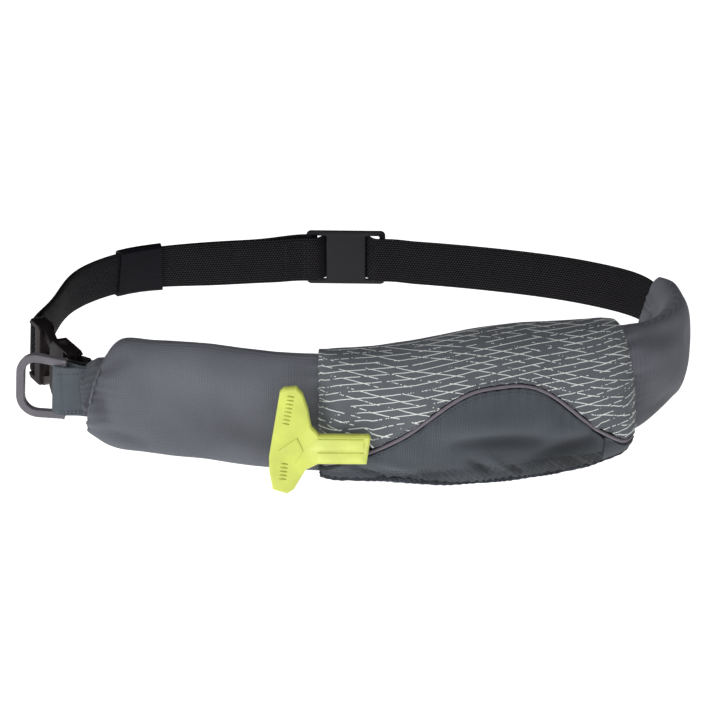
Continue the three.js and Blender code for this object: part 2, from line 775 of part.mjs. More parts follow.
addPiece('buckle_prongs', buckleProngs(), bucklePlastic);

// Sections of sleeves and pouch: height, reach to the front and to the back of the strap, and
// the ridge, where the section is tallest; power is how full its corners are
function sectionPoint(distance, section, angle, inset) {
  const frame = frameAt(distance);
  const forward = Math.cos(angle) >= 0;
  const power = forward ? section.frontPower : section.backPower;
  const side = forward ? section.front - section.ridge : section.back + section.ridge;
  const out = Math.sign(Math.cos(angle)) * (side - inset) * Math.abs(Math.cos(angle)) ** power;
  const up = Math.sign(Math.sin(angle)) * (section.height / 2 - inset) * Math.abs(Math.sin(angle)) ** power;
  return frame.point
    .addScaledVector(frame.outward, section.ridge + out)
    .addScaledVector(UP, up - section.drop);
}

function ringOf(distanceAt, section, inset) {
  const ring = [];
  for (let j = 0; j < SLEEVE_SIDES; j += 1) {
    const angle = (2 * Math.PI * j) / SLEEVE_SIDES;
    ring.push(sectionPoint(distanceAt(angle), section, angle, inset));
  }
  return ring;
}

function sleeveSection(rows, at, height, thickness, power) {
  const thick = column(rows, 'thick', at) * thickness;
  const out = column(rows, 'out', at) * thickness;
  return {
    height: column(rows, 'height', at) * height,
    front: out + thick / 2,
    back: thick / 2 - out,
    ridge: out,
    drop: column(rows, 'drop', at) * height,
    frontPower: power,
    backPower: power,
  };
}

const longSection = (at) => sleeveSection(
  LONG_SLEEVE_SECTIONS,
  at,
  LONG_SLEEVE_HEIGHT,
  LONG_SLEEVE_THICKNESS,
  SLEEVE_FULLNESS,
);
const endSection = (at) => sleeveSection(
  SLEEVE_END_SECTIONS,
  at,
  SLEEVE_END_HEIGHT,
  SLEEVE_END_THICKNESS,
  SLEEVE_END_FULLNESS,
);
const shortSection = (at) => sleeveSection(
  SHORT_SLEEVE_SECTIONS,
  at,
  SHORT_SLEEVE_HEIGHT,
  SHORT_SLEEVE_THICKNESS,
  SLEEVE_FULLNESS,
);

// A hollow sleeve from one place to another; slant moves the lower part of its first edge along
function sleeve(start, end, sectionAt, rows, slant) {
  const outer = [];
  const inner = [];
  for (let i = 0; i <= rows; i += 1) {
    const share = i / rows;
    const shift = slant * (1 - share) ** 2;
    const distanceAt = (angle) => (
      THREE.MathUtils.lerp(start, end, share) - (shift * Math.sin(angle)) / 2
    );
    const section = sectionAt(share);
    outer.push(ringOf(distanceAt, section, 0));
    inner.push(ringOf(distanceAt, section, CLOTH));
  }
  return wall(outer, inner, true);
}
addPiece(
  'sleeve_long',
  sleeve(longSleeveStart, pouchStart + SLEEVE_TUCK, longSection, SLEEVE_ROWS, -END_SLANT),
  sleeveCloth,
);
addPiece(
  'sleeve_end',
  sleeve(sleeveEndStart, longSleeveStart + SLEEVE_TUCK, endSection, SLEEVE_END_ROWS, 0),
  sleeveCloth,
);
addPiece(
  'sleeve_short',
  sleeve(
    shortSleeveEnd,
    pouchEnd - SLEEVE_TUCK - SEAM_SLANT / 2,
    shortSection,
    SLEEVE_ROWS,
    MOUTH_SLANT,
  ),
  sleeveCloth,
);

// Pouch: at each seam its section is the sleeve's, let out by the cloth and the gap
function grown(section) {
  const more = CLOTH + SEAM_EASE;
  return {
    ...section,
    height: section.height + 2 * more,
    front: section.front + more,
    back: section.back + more,
  };
}

function blended(from, to, share) {
  const mixed = {};
  Object.keys(to).forEach((key) => {
    mixed[key] = THREE.MathUtils.lerp(from[key], to[key], share);
  });
  return mixed;
}

function pouchSection(share) {
  const front = column(POUCH_SECTIONS, 'front', share) * POUCH_BULGE;
  const middle = {
    height: column(POUCH_SECTIONS, 'height', share) * POUCH_HEIGHT,
    front,
    back: column(POUCH_SECTIONS, 'back', share) * POUCH_BACK,
    ridge: POUCH_RIDGE * front,
    drop: column(POUCH_SECTIONS, 'drop', share) * POUCH_HEIGHT,
    frontPower: POUCH_FRONT_FULLNESS,
    backPower: POUCH_BACK_FULLNESS,
  };
  const along = share * POUCH_LENGTH;
  const fromLeft = THREE.MathUtils.smoothstep(along, 0, SEAM_RUN);
  const fromRight = THREE.MathUtils.smoothstep(POUCH_LENGTH - along, 0, SEAM_RUN);
  const left = blended(grown(longSection(1)), middle, fromLeft);
  return blended(grown(shortSection(1)), left, fromRight);
}

function pouchPoint(share, angle, inset) {
  const slant = (-SEAM_SLANT / 2) * share ** 4 * Math.sin(angle);
  return sectionPoint(pouchStart + share * POUCH_LENGTH + slant, pouchSection(share), angle, inset);
}

// Angle on the front of the pouch at a height, in millimetres above its middle
function frontAngle(share, height) {
  const section = pouchSection(share);
  const rise = THREE.MathUtils.clamp(height / (section.height / 2), -0.999, 0.999);
  return Math.asin(Math.sign(rise) * Math.abs(rise) ** (1 / section.frontPower));
}

const pipingHeight = (share) => (
  (column(PIPING_RISE, 'rise', share) * pouchSection(share).height) / 2
);

// Half the height that the piping and its gap take up, more where the piping runs steeply
function seamHalf(share) {
  const step = 0.01;
  const climb = (pipingHeight(share + step) - pipingHeight(share - step)) / (2 * step * POUCH_LENGTH);
  const fromEnd = Math.min(share, 1 - share) * POUCH_LENGTH;
  const atEnd = 2 * SEAM_EASE * (1 - THREE.MathUtils.smoothstep(fromEnd, 0, 2 * SEAM_RUN));
  return (PIPING_DIAMETER / 2 + GAP + PIPING_EASE + atEnd) * Math.hypot(1, climb);
}
const LANYARD_ROOM = LANYARD_DIAMETER + LANYARD_EASE;
const lanyardShare = (HANDLE_START + LANYARD_REACH) / POUCH_LENGTH;

// The upper panel's lower edge makes room for the lanyard above the piping
function panelFoot(share) {
  const away = Math.abs(share - lanyardShare) * POUCH_LENGTH;
  const fade = THREE.MathUtils.smoothstep(away, LANYARD_ROOM, 3 * LANYARD_ROOM);
  return frontAngle(share, pipingHeight(share) + seamHalf(share) + LANYARD_ROOM * (1 - fade));
}

const flapTop = (share) => frontAngle(share, pipingHeight(share) - seamHalf(share));

const TOP_EDGE = THREE.MathUtils.degToRad(112);
const HEM_TOP = THREE.MathUtils.degToRad(-62);
const HEM_EDGE = THREE.MathUtils.degToRad(-106);
const EDGE_GAP = THREE.MathUtils.degToRad(2.5);

// One panel of the pouch between two edges, each an angle that may change along the pouch
function panel(from, to, edgeA, edgeB, rows, spans, proud) {
  const outer = [];
  const inner = [];
  for (let i = 0; i <= rows; i += 1) {
    const share = THREE.MathUtils.lerp(from, to, i / rows);
    const first = edgeA(share);
    const last = edgeB(share);
    const outerRow = [];
    const innerRow = [];
    for (let j = 0; j <= spans; j += 1) {
      const angle = THREE.MathUtils.lerp(first, last, j / spans);
      outerRow.push(pouchPoint(share, angle, -proud));
      innerRow.push(pouchPoint(share, angle, CLOTH));
    }
    outer.push(outerRow);
    inner.push(innerRow);
  }
  return wall(outer, inner, false);
}

const flapShare = FLAP_LENGTH / POUCH_LENGTH;
const pleatShare = flapShare + GAP / POUCH_LENGTH;
addPiece('pouch_back', panel(
  0,
  1,
  () => TOP_EDGE + EDGE_GAP,
  () => 2 * Math.PI + HEM_EDGE - EDGE_GAP,
  BACK_ROWS,
  BACK_SPANS,
  0,
), pouchCloth);
addPiece('pouch_top_panel', panel(
  0,
  1,
  () => TOP_EDGE,
  panelFoot,
  PANEL_ROWS,
  TOP_SPANS,
  0,
), pouchCloth);
addPiece('pouch_flap', panel(
  0,
  flapShare,
  flapTop,
  () => HEM_TOP + EDGE_GAP,
  PANEL_ROWS,
  FLAP_SPANS,
  0,
), flapCloth);
addPiece('pouch_corner', panel(
  pleatShare,
  1,
  flapTop,
  () => HEM_TOP + EDGE_GAP,
  CORNER_ROWS,
  CORNER_SPANS,
  0,
), flapCloth);
addPiece('pouch_hem', panel(
  0,
  1,
  () => HEM_TOP,
  () => HEM_EDGE,
  PANEL_ROWS,
  HEM_SPANS,
  HEM_PROUD,
), hemCloth);

// Round cord along a curve
function cordAlong(points, diameter, sides, steps) {
  const section = new THREE.Shape();
  section.absarc(0, 0, diameter / 2, 0, Math.PI * 2, false);
  return new THREE.ExtrudeGeometry(section, {
    steps,
    curveSegments: sides,
    bevelEnabled: false,
    extrudePath: new THREE.CatmullRomCurve3(points),
  });
}

// Piping: the cord sewn in between the upper panel and the flap
function pipingPoints() {
  const points = [];
  for (let i = 0; i <= PIPING_POINTS; i += 1) {
    const share = THREE.MathUtils.lerp(PIPING_MARGIN, 1 - PIPING_MARGIN, i / PIPING_POINTS);
    points.push(pouchPoint(share, frontAngle(share, pipingHeight(share)), CLOTH / 2 - GAP));
  }
  return points;
}
addPiece('piping', cordAlong(pipingPoints(), PIPING_DIAMETER, PIPING_SIDES, PIPING_STEPS), pipingCord);

// D-ring and its tab, at the free end of the long sleeve
const tabRoot = frameAt(sleeveEndStart);
const tabAlong = tabRoot.tangent.clone()
  .applyAxisAngle(UP, THREE.MathUtils.degToRad(TAB_TURN));
const tabOut = new THREE.Vector3(tabAlong.y, -tabAlong.x, 0);
const tabRise = UP.clone().applyAxisAngle(tabOut, THREE.MathUtils.degToRad(TAB_ROLL));
const tabRun = tabAlong.clone().applyAxisAngle(tabOut, THREE.MathUtils.degToRad(TAB_ROLL));
const tabPoint = (along, out) => tabRoot.point.clone()
  .addScaledVector(tabRoot.outward, TAB_OUT)
  .addScaledVector(tabRun, along)
  .addScaledVector(tabOut, out)
  .addScaledVector(UP, TAB_RISE);

function ringTab() {
  const radius = (RING_BAR_DIAMETER + WEBBING_THICKNESS) / 2 + GAP;
  const flat = layerStep / 2;
  const stations = [];
  const put = (along, out) => stations.push({ point: tabPoint(along, out), rise: tabRise });
  put(TAB_INSERT, flat);
  put(3 * radius - TAB_REACH, flat);
  put(2 * radius - TAB_REACH, THREE.MathUtils.lerp(flat, radius, 0.5));
  put(radius / 2 - TAB_REACH, radius);
  halfTurn((along, out) => put(along - TAB_REACH - TAB_SLACK, out), radius, -1, 1);
  put(radius / 2 - TAB_REACH, -radius);
  put(2 * radius - TAB_REACH, -THREE.MathUtils.lerp(flat, radius, 0.5));
  put(3 * radius - TAB_REACH, -flat);
  put(TAB_INSERT, -flat);
  return ribbon(stations, WEBBING_WIDTH, WEBBING_THICKNESS);
}
addPiece('ring_tab', ringTab(), webbingGrey);

function dRing() {
  const inside = WEBBING_WIDTH / 2 + RING_PLAY;
  const near = inside + RING_SHOULDER;
  const half = inside + RING_STOCK;
  const far = -RING_DEPTH;
  const hip = RING_BAR_DIAMETER / 2;
  const outline = mirrored([
    new THREE.Vector2(far, RING_CORNER / 2),
    new THREE.Vector2(far + RING_BOW, half - RING_CORNER),
    new THREE.Vector2(far + RING_CORNER / 2, half - RING_CORNER / 3),
    new THREE.Vector2(far + RING_CORNER, half),
    new THREE.Vector2(-hip, near),
    new THREE.Vector2(0, near - hip),
  ]);
  const farInside = far + RING_STOCK;
  const innerCorner = RING_CORNER - RING_STOCK / 2;
  const hole = mirrored([
    new THREE.Vector2(farInside, innerCorner / 2),
    new THREE.Vector2(farInside + RING_BOW, inside - innerCorner),
    new THREE.Vector2(farInside + innerCorner / 2, inside - innerCorner / 3),
    new THREE.Vector2(farInside + innerCorner, inside),
    new THREE.Vector2(RING_THICKNESS, inside),
  ]);
  const flat = moulding(outline, RING_THICKNESS, RING_THICKNESS / 4);
  const through = moulding(hole, 2 * RING_THICKNESS, 0);
  const bar = crossBar(-hip, RING_BAR_DIAMETER, 2 * inside + RING_SHOULDER);
  const ring = joined(cut(flat, through), bar);
  ring.translate(hip, 0, 0);
  return seat(ring, tabPoint(-TAB_REACH, 0), tabRun, tabRise);
}
addPiece('d_ring', dRing(), ringPlastic);

// Pull handle: a T lying on the pouch's left seam, its stem along the belt. Lengths run along
// the belt from the grip's back and up from the handle's middle
const handleHalf = HANDLE_LENGTH / 2;
const handlePlace = frameAt(pouchStart + HANDLE_START + HANDLE_REACH / 2);
const handleOut = Math.max(pouchSection(lanyardShare).front, longSection(1).front)
  + HANDLE_STANDOFF + HANDLE_THICKNESS / 2;
const lanyardRise = pipingHeight(lanyardShare) + seamHalf(lanyardShare) + LANYARD_ROOM / 2
  + HANDLE_DROP - pouchSection(lanyardShare).drop;

function placeHandle(geometry) {
  const start = handlePlace.point.clone()
    .addScaledVector(handlePlace.outward, handleOut)
    .addScaledVector(handlePlace.tangent, -HANDLE_REACH / 2)
    .addScaledVector(UP, -HANDLE_DROP);
  return seat(geometry, start, handlePlace.tangent, UP.clone());
}

function lanyardRod(diameter, from, to) {
  const rod = new THREE.CylinderGeometry(diameter / 2, diameter / 2, to - from, ROD_SIDES);
  rod.rotateX(Math.PI / 2);
  rod.translate(LANYARD_REACH, lanyardRise, (from + to) / 2);
  return rod;
}

function pullHandle() {
  const outline = new THREE.Shape(HANDLE_OUTLINE.map((row) => (
    new THREE.Vector2(row.reach * HANDLE_REACH, row.rise * handleHalf)
  )));
  const plate = moulding(outline, HANDLE_THICKNESS, HANDLE_BEVEL);
  const face = HANDLE_THICKNESS / 2;
  const bar = (low, high) => block(
    HANDLE_STEM.from * HANDLE_REACH,
    HANDLE_STEM.to * HANDLE_REACH,
    low * handleHalf,
    high * handleHalf,
    face - HANDLE_RIDGE,
    face + HANDLE_RIDGE,
  );
  const arrow = new THREE.Shape(HANDLE_ARROW.map((row) => (
    new THREE.Vector2(row.reach * HANDLE_REACH, row.rise * handleHalf)
  )));
  const boss = moulding(arrow, 2 * HANDLE_RIDGE, HANDLE_RIDGE / 2);
  boss.translate(0, 0, face);
  const upper = bar(HANDLE_STEM.high - HANDLE_STEM.bar, HANDLE_STEM.high);
  const lower = bar(HANDLE_STEM.low, HANDLE_STEM.low + HANDLE_STEM.bar);
  const socket = lanyardRod(LANYARD_DIAMETER + 2 * GAP, -HANDLE_THICKNESS, 0);
  return placeHandle(cut(joined(plate, upper, lower, boss), socket));
}
addPiece('pull_handle', pullHandle(), handlePlastic);

// Lanyard: the cord from the back of the handle's stem into the pouch, just above the piping
addPiece(
  'handle_lanyard',
  placeHandle(lanyardRod(LANYARD_DIAMETER, -LANYARD_LENGTH, -GAP)),
  lanyardCord,
);

export default model;
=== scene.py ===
import math

import bmesh
import bpy
import numpy as np
from mathutils import Matrix, Vector, noise
from mathutils.bvhtree import BVHTree


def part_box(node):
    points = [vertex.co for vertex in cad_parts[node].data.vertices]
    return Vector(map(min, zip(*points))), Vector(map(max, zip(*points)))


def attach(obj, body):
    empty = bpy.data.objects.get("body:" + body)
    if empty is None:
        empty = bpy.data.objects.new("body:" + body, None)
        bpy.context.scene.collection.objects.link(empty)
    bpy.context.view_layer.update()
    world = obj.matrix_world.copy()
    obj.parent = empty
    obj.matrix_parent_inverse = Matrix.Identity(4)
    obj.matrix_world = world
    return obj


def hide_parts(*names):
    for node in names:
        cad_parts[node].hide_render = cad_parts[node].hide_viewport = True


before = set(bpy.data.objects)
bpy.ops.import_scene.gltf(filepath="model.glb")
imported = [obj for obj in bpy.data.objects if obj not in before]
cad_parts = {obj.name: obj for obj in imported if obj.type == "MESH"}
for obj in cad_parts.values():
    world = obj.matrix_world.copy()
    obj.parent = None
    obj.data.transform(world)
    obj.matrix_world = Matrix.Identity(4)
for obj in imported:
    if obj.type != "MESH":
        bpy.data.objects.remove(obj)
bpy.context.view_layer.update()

# Belt strap: black 38 mm webbing in one length, woven with fine ribs and a firm selvage. It is
# doubled between the slider and the buckle, and its cut end is sewn back round the slider's bar.
BELT_HALF_WIDTH = 0.244
BELT_HALF_DEPTH = 0.131
# The belt's line seen from above, as shares of the two halves, from the long sleeve's free end
BELT_PLAN = (
    (-0.978, -0.313), (-0.815, -0.800), (-0.750, -0.860), (-0.410, -0.969), (-0.143, -1.090),
    (0.123, -1.053), (0.451, -0.885), (0.779, -0.740), (0.945, -0.397), (0.983, -0.038),
    (0.948, 0.366), (0.779, 0.618), (0.451, 0.847), (0.000, 1.000), (-0.451, 0.939),
    (-0.758, 0.809), (-0.912, 0.510), (-0.957, 0.050),
)


LINE_STEPS = 16
POINTS_AT_ONCE = 4000


def belt_line():
    """Points on the belt's middle line, closed, with the distance along it of each."""
    plan = np.array(BELT_PLAN) * (BELT_HALF_WIDTH, BELT_HALF_DEPTH)
    points = []
    for i in range(len(plan)):
        a, b, c, d = (plan[(i + k) % len(plan)] for k in (-1, 0, 1, 2))
        for t in np.arange(LINE_STEPS) / LINE_STEPS:
            points.append(0.5 * (
                2 * b + (c - a) * t + (2 * a - 5 * b + 4 * c - d) * t * t
                + (3 * b - a - 3 * c + d) * t ** 3
            ))
    points = np.array(points + points[:1])
    along = np.concatenate(([0], np.cumsum(np.linalg.norm(np.diff(points, axis=0), axis=1))))
    return points, along


line_points, line_along = belt_line()
BELT_LENGTH = line_along[-1]


def belt_place(coords):
    """Distance along the belt, distance outward from it, and height, of each point."""
    starts = line_points[:-1]
    steps = np.diff(line_points, axis=0)
    squares = (steps ** 2).sum(axis=1)
    out = np.empty((len(coords), 3))
    for first in range(0, len(coords), POINTS_AT_ONCE):
        last = first + POINTS_AT_ONCE
        part = coords[first:last, :2]
        away = part[:, None, :] - starts[None]
        share = np.clip((away * steps).sum(axis=2) / squares, 0, 1)
        gap = away - share[..., None] * steps
        nearest = (gap ** 2).sum(axis=2).argmin(axis=1)
        row = np.arange(len(part))
        step = steps[nearest]
        length = np.sqrt(squares[nearest])
        offset = away[row, nearest]
        side = (offset[:, 0] * step[:, 1] - offset[:, 1] * step[:, 0]) / length
        out[first:last, 0] = line_along[nearest] + share[row, nearest] * length
        out[first:last, 1] = side
        out[first:last, 2] = coords[first:last, 2]
    return out


def belt_point(along, out, height):
    """The point at a distance along the belt, a distance outward from it and a height."""
    along = along % BELT_LENGTH
    x, y = (np.interp(along, line_along, line_points[:, k]) for k in (0, 1))
    i = max(min(int(np.searchsorted(line_along, along)), len(line_points) - 1), 1)
    step = line_points[i] - line_points[i - 1]
    step = step / np.linalg.norm(step)
    return Vector((x + step[1] * out, y - step[0] * out, height)), Vector((*step, 0))


MERGE_WITHIN = 1e-5
FLAT_PAIR = math.radians(35)
SQUARE_PAIR = math.radians(50)
HARD_EDGE = math.radians(50)


def finer_copy(node, name, levels, crease):
    """A copy of a soft CAD piece, merged, made quads and divided, with its hard edges kept."""
    bm = bmesh.new()
    bm.from_mesh(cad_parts[node].data)
    bmesh.ops.remove_doubles(bm, verts=bm.verts, dist=MERGE_WITHIN)
    bmesh.ops.join_triangles(
        bm, faces=bm.faces, angle_face_threshold=FLAT_PAIR, angle_shape_threshold=SQUARE_PAIR)
    layer = bm.edges.layers.float.new("crease_edge")
    for edge in bm.edges:
        if len(edge.link_faces) == 2 and edge.calc_face_angle() > HARD_EDGE:
            edge[layer] = crease
    mesh = bpy.data.meshes.new(name)
    bm.to_mesh(mesh)
    bm.free()
    rough = bpy.data.objects.new(name, mesh)
    bpy.context.scene.collection.objects.link(rough)
    divide = rough.modifiers.new("divide", "SUBSURF")
    divide.levels = divide.render_levels = levels
    depsgraph = bpy.context.evaluated_depsgraph_get()
    rough.data = bpy.data.meshes.new_from_object(rough.evaluated_get(depsgraph))
    rough.modifiers.clear()
    rough.data.name = name
    for polygon in rough.data.polygons:
        polygon.use_smooth = True
    rough.data.materials.clear()
    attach(rough, "belt")
    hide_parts(node)
    return rough


def place_of(obj):
    """Vertices and normals of a piece, and where each lies on the belt."""
    count = len(obj.data.vertices)
    coords = np.empty(count * 3)
    obj.data.vertices.foreach_get("co", coords)
    normals = np.empty(count * 3)
    obj.data.vertex_normals.foreach_get("vector", normals)
    coords = coords.reshape(-1, 3)
    return coords, normals.reshape(-1, 3), belt_place(coords)


def lay_weave(obj):
    """Gives each point of a piece its place on the cloth: along the belt, up, and outward."""
    place = place_of(obj)[2]
    layer = obj.data.attributes.new("cloth", "FLOAT_VECTOR", "POINT")
    layer.data.foreach_set("vector", place[:, (0, 2, 1)].astype(np.float32).ravel())


def add_node(tree, kind, **settings):
    made = tree.nodes.new(kind)
    for key, value in settings.items():
        setattr(made, key, value)
    return made


def reckon(tree, operation, *values):
    """A Math node on sockets or numbers; gives its output."""
    made = add_node(tree, "ShaderNodeMath", operation=operation)
    for socket, value in zip(made.inputs, values):
        if isinstance(value, (int, float)):
            socket.default_value = value
        else:
            tree.links.new(value, socket)
    return made.outputs[0]


def new_group(name, inputs, outputs):
    """A shader node group with its sockets; gives the tree and its two end nodes."""
    tree = bpy.data.node_groups.new(name, "ShaderNodeTree")
    for label, kind, value in inputs:
        socket = tree.interface.new_socket(label, in_out="INPUT", socket_type=kind)
        if value is not None:
            socket.default_value = value
    for label, kind in outputs:
        tree.interface.new_socket(label, in_out="OUTPUT", socket_type=kind)
    return tree, add_node(tree, "NodeGroupInput"), add_node(tree, "NodeGroupOutput")


def weave_group():
    """Threads over and under each other: a height and a mask of the gaps between them."""
    tree, given, made = new_group("threads over and under", (
        ("Place", "NodeSocketVector", None),
        ("Along", "NodeSocketFloat", 1000.0),
        ("Across", "NodeSocketFloat", 1000.0),
        ("Slant", "NodeSocketFloat", 0.0),
    ), (("Height", "NodeSocketFloat"), ("Gaps", "NodeSocketFloat")))
    split = add_node(tree, "ShaderNodeSeparateXYZ")
    tree.links.new(given.outputs["Place"], split.inputs[0])
    u = reckon(tree, "MULTIPLY", split.outputs[0], given.outputs["Along"])
    v = reckon(tree, "MULTIPLY", split.outputs[1], given.outputs["Across"])
    u = reckon(tree, "ADD", u, reckon(tree, "MULTIPLY", v, given.outputs["Slant"]))
    warp = reckon(tree, "ABSOLUTE", reckon(tree, "SINE", reckon(tree, "MULTIPLY", u, math.pi)))
    weft = reckon(tree, "ABSOLUTE", reckon(tree, "SINE", reckon(tree, "MULTIPLY", v, math.pi)))
    parity = reckon(
        tree, "FLOORED_MODULO",
        reckon(tree, "ADD", reckon(tree, "FLOOR", u), reckon(tree, "FLOOR", v)), 2.0,
    )
    over = reckon(tree, "MULTIPLY", warp, reckon(tree, "MULTIPLY_ADD", parity, 0.5, 0.5))
    under = reckon(tree, "MULTIPLY", weft, reckon(tree, "MULTIPLY_ADD", parity, -0.5, 1.0))
    height = reckon(tree, "MULTIPLY", reckon(tree, "ADD", over, under), 0.5)
    gaps = reckon(tree, "SUBTRACT", 1.0, reckon(tree, "MULTIPLY", warp, weft))
    tree.links.new(height, made.inputs["Height"])
    tree.links.new(gaps, made.inputs["Gaps"])
    return tree


def dye_dust_painted_shade_group():
    """Soft, uneven patches of a lighter and a darker tone, with a little dust in the threads,
    scaled by a piece's painted light and shade.
    """
    tree, given, made = new_group("uneven dye, dust and painted shade", (
        ("Place", "NodeSocketVector", None),
        ("Colour", "NodeSocketColor", (0.1, 0.1, 0.1, 1)),
        ("Patch", "NodeSocketFloat", 25.0),
        ("Depth", "NodeSocketFloat", 0.2),
        ("Gaps", "NodeSocketFloat", 0.0),
        ("Contrast", "NodeSocketFloat", 0.28),
        ("Painted Light Shade", "NodeSocketFloat", 0.0),
    ), (("Colour", "NodeSocketColor"), ("Tone", "NodeSocketFloat")))
    broad = add_node(tree, "ShaderNodeTexNoise")
    broad.inputs["Detail"].default_value = 4.0
    tree.links.new(given.outputs["Place"], broad.inputs["Vector"])
    tree.links.new(given.outputs["Patch"], broad.inputs["Scale"])
    fine = add_node(tree, "ShaderNodeTexNoise")
    fine.inputs["Scale"].default_value = 700.0
    tree.links.new(given.outputs["Place"], fine.inputs["Vector"])
    tone = reckon(tree, "MULTIPLY_ADD", broad.outputs[0], 0.75, 0.0)
    tone = reckon(tree, "MULTIPLY_ADD", fine.outputs[0], 0.25, tone)
    level = reckon(tree, "MULTIPLY_ADD", reckon(tree, "SUBTRACT", tone, 0.5),
                   given.outputs["Depth"], 1.0)
    shade = reckon(tree, "SUBTRACT", 1.06,
                   reckon(tree, "MULTIPLY", given.outputs["Gaps"], given.outputs["Contrast"]))
    level = reckon(tree, "MULTIPLY", level, shade)
    # Painted light and shade: the colour is scaled up on a piece's ridges and down in its hollows.
    level = reckon(tree, "MULTIPLY", level,
                   reckon(tree, "ADD", 1.0, given.outputs["Painted Light Shade"]))
    mix = add_node(tree, "ShaderNodeVectorMath", operation="SCALE")
    tree.links.new(given.outputs["Colour"], mix.inputs[0])
    tree.links.new(level, mix.inputs["Scale"])
    tree.links.new(mix.outputs[0], made.inputs["Colour"])
    tree.links.new(tone, made.inputs["Tone"])
    return tree


threads_over_under = weave_group()
dye_dust_and_painted_shade = dye_dust_painted_shade_group()


def place_group(tree, group, **values):
    made = add_node(tree, "ShaderNodeGroup", node_tree=group)
    for key, value in values.items():
        socket = made.inputs[key.replace("_", " ")]
        if isinstance(value, bpy.types.NodeSocket):
            tree.links.new(value, socket)
        else:
            socket.default_value = value
    return made


def cloth_material(name, colour, along, across, slant=0.0, relief=0.00018, rough=0.82, depth=0.5,
                   patch=25.0, sheen=0.05, shine=0.25, contrast=0.28, shows_painted_light_shade=False):
    """Woven cloth: threads in relief, uneven dye, a soft sheen, and where asked, painted shade in
    its hollows and painted light on its ridges. Threads are per metre.
    """
    material = bpy.data.materials.new(name)
    material.use_nodes = True
    tree = material.node_tree
    shader = tree.nodes["Principled BSDF"]
    shader.inputs["Sheen Weight"].default_value = sheen
    shader.inputs["Sheen Roughness"].default_value = 0.5
    shader.inputs["Specular IOR Level"].default_value = shine
    cloth = add_node(tree, "ShaderNodeAttribute", attribute_name="cloth")
    weave = place_group(tree, threads_over_under, Place=cloth.outputs["Vector"], Along=along,
                        Across=across, Slant=slant)
    dye = place_group(tree, dye_dust_and_painted_shade, Place=cloth.outputs["Vector"], Colour=(*colour, 1),
                      Patch=patch, Depth=depth, Gaps=weave.outputs["Gaps"], Contrast=contrast)
    # Painted shade in the piece's hollows and painted light on its ridges, read from a point
    # attribute.
    if shows_painted_light_shade:
        painted_light_shade = add_node(tree, "ShaderNodeAttribute", attribute_name="painted_light_shade")
        tree.links.new(painted_light_shade.outputs["Fac"], dye.inputs["Painted Light Shade"])
    tree.links.new(dye.outputs["Colour"], shader.inputs["Base Color"])
    tree.links.new(reckon(tree, "MULTIPLY_ADD", dye.outputs["Tone"], 0.2, rough - 0.1),
                   shader.inputs["Roughness"])
    bump = add_node(tree, "ShaderNodeBump")
    bump.inputs["Distance"].default_value = relief
    bump.inputs["Strength"].default_value = 1.0
    tree.links.new(weave.outputs["Height"], bump.inputs["Height"])
    tree.links.new(bump.outputs[0], shader.inputs["Normal"])
    return material


CAST_FROM = 0.12
STANDS_PROUD = 0.15


def stitch_row(name, cloth, places, pitch, length, thick, material, wide=None):
    """A row of thread stitches lying on a piece, along places given as (along, height).

    A third value in a place puts it on the belt's inner side.
    """
    tree = BVHTree.FromPolygons(
        [v.co for v in cloth.data.vertices], [p.vertices[:] for p in cloth.data.polygons])
    bm = bmesh.new()
    for row in places:
        hits = []
        for along, height, *inside in row:
            side = -1 if inside else 1
            start, step = belt_point(along, side * CAST_FROM, height)
            inward = Vector((-step.y, step.x, 0)) * side
            spot, normal = tree.ray_cast(start, inward)[:2]
            if spot is not None:
                hits.append((spot, normal))
        if len(hits) < 2:
            continue
        gone = [0.0]
        for (a, _), (b, _) in zip(hits, hits[1:]):
            gone.append(gone[-1] + (b - a).length)
        for k in range(int(gone[-1] / pitch)):
            target = (k + 0.5) * pitch
            i = min(int(np.searchsorted(gone, target)), len(hits) - 1)
            t = (target - gone[i - 1]) / max(gone[i] - gone[i - 1], 1e-9)
            spot = hits[i - 1][0].lerp(hits[i][0], t)
            normal = hits[i - 1][1].lerp(hits[i][1], t).normalized()
            run = (hits[i][0] - hits[i - 1][0]).normalized()
            across = normal.cross(run).normalized()
            turn = Matrix((run, across, normal)).transposed().to_4x4()
            size = Matrix.Diagonal((length / 2, (wide or thick) / 2, thick / 2, 1))
            seat = Matrix.Translation(spot + normal * thick * STANDS_PROUD)
            bmesh.ops.create_icosphere(bm, subdivisions=1, radius=1, matrix=seat @ turn @ size)
    mesh = bpy.data.meshes.new(name)
    bm.to_mesh(mesh)
    bm.free()
    for polygon in mesh.polygons:
        polygon.use_smooth = True
    made = bpy.data.objects.new(name, mesh)
    bpy.context.scene.collection.objects.link(made)
    mesh.materials.append(material)
    lay_weave(made)
    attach(made, "belt")
    return made


strap = finer_copy("strap", "belt_strap", 2, 0.75)
lay_weave(strap)
strap.data.materials.append(cloth_material(
    "black ribbed webbing", (0.0340, 0.0310, 0.0360), 460.0, 520.0, slant=0.5, relief=0.0009,
    rough=0.86, depth=0.7, patch=60.0, sheen=0.0, shine=0.12, contrast=1.25,
))
black_thread = cloth_material(
    "black sewing thread", (0.03, 0.029, 0.033), 2500.0, 2500.0, relief=0.00005, rough=0.7)
SEWN_FROM = 0.9310
SEWN_TO = 0.9500
SEWN_HALF = 0.0160
sewn_rows = [
    [(x, -SEWN_HALF, 1), (x, SEWN_HALF, 1)] for x in (SEWN_FROM, SEWN_FROM + 0.003, SEWN_TO)
] + [[(SEWN_FROM, z, 1), (SEWN_TO, z, 1)] for z in (-SEWN_HALF, SEWN_HALF)]
stitch_row("strap_stitches", strap, sewn_rows, 0.0029, 0.0023, 0.0006, black_thread)

# Slider and keeper: the adjuster with its two slots, and the band that holds both layers of the
# strap. Satin black mouldings, kept at their CAD shapes with each edge rounded as a mould
# leaves it.
SHARP_EDGE = math.radians(24)
FLAT_WITHIN = math.radians(1.5)
SMOOTH_UP_TO = math.radians(42)


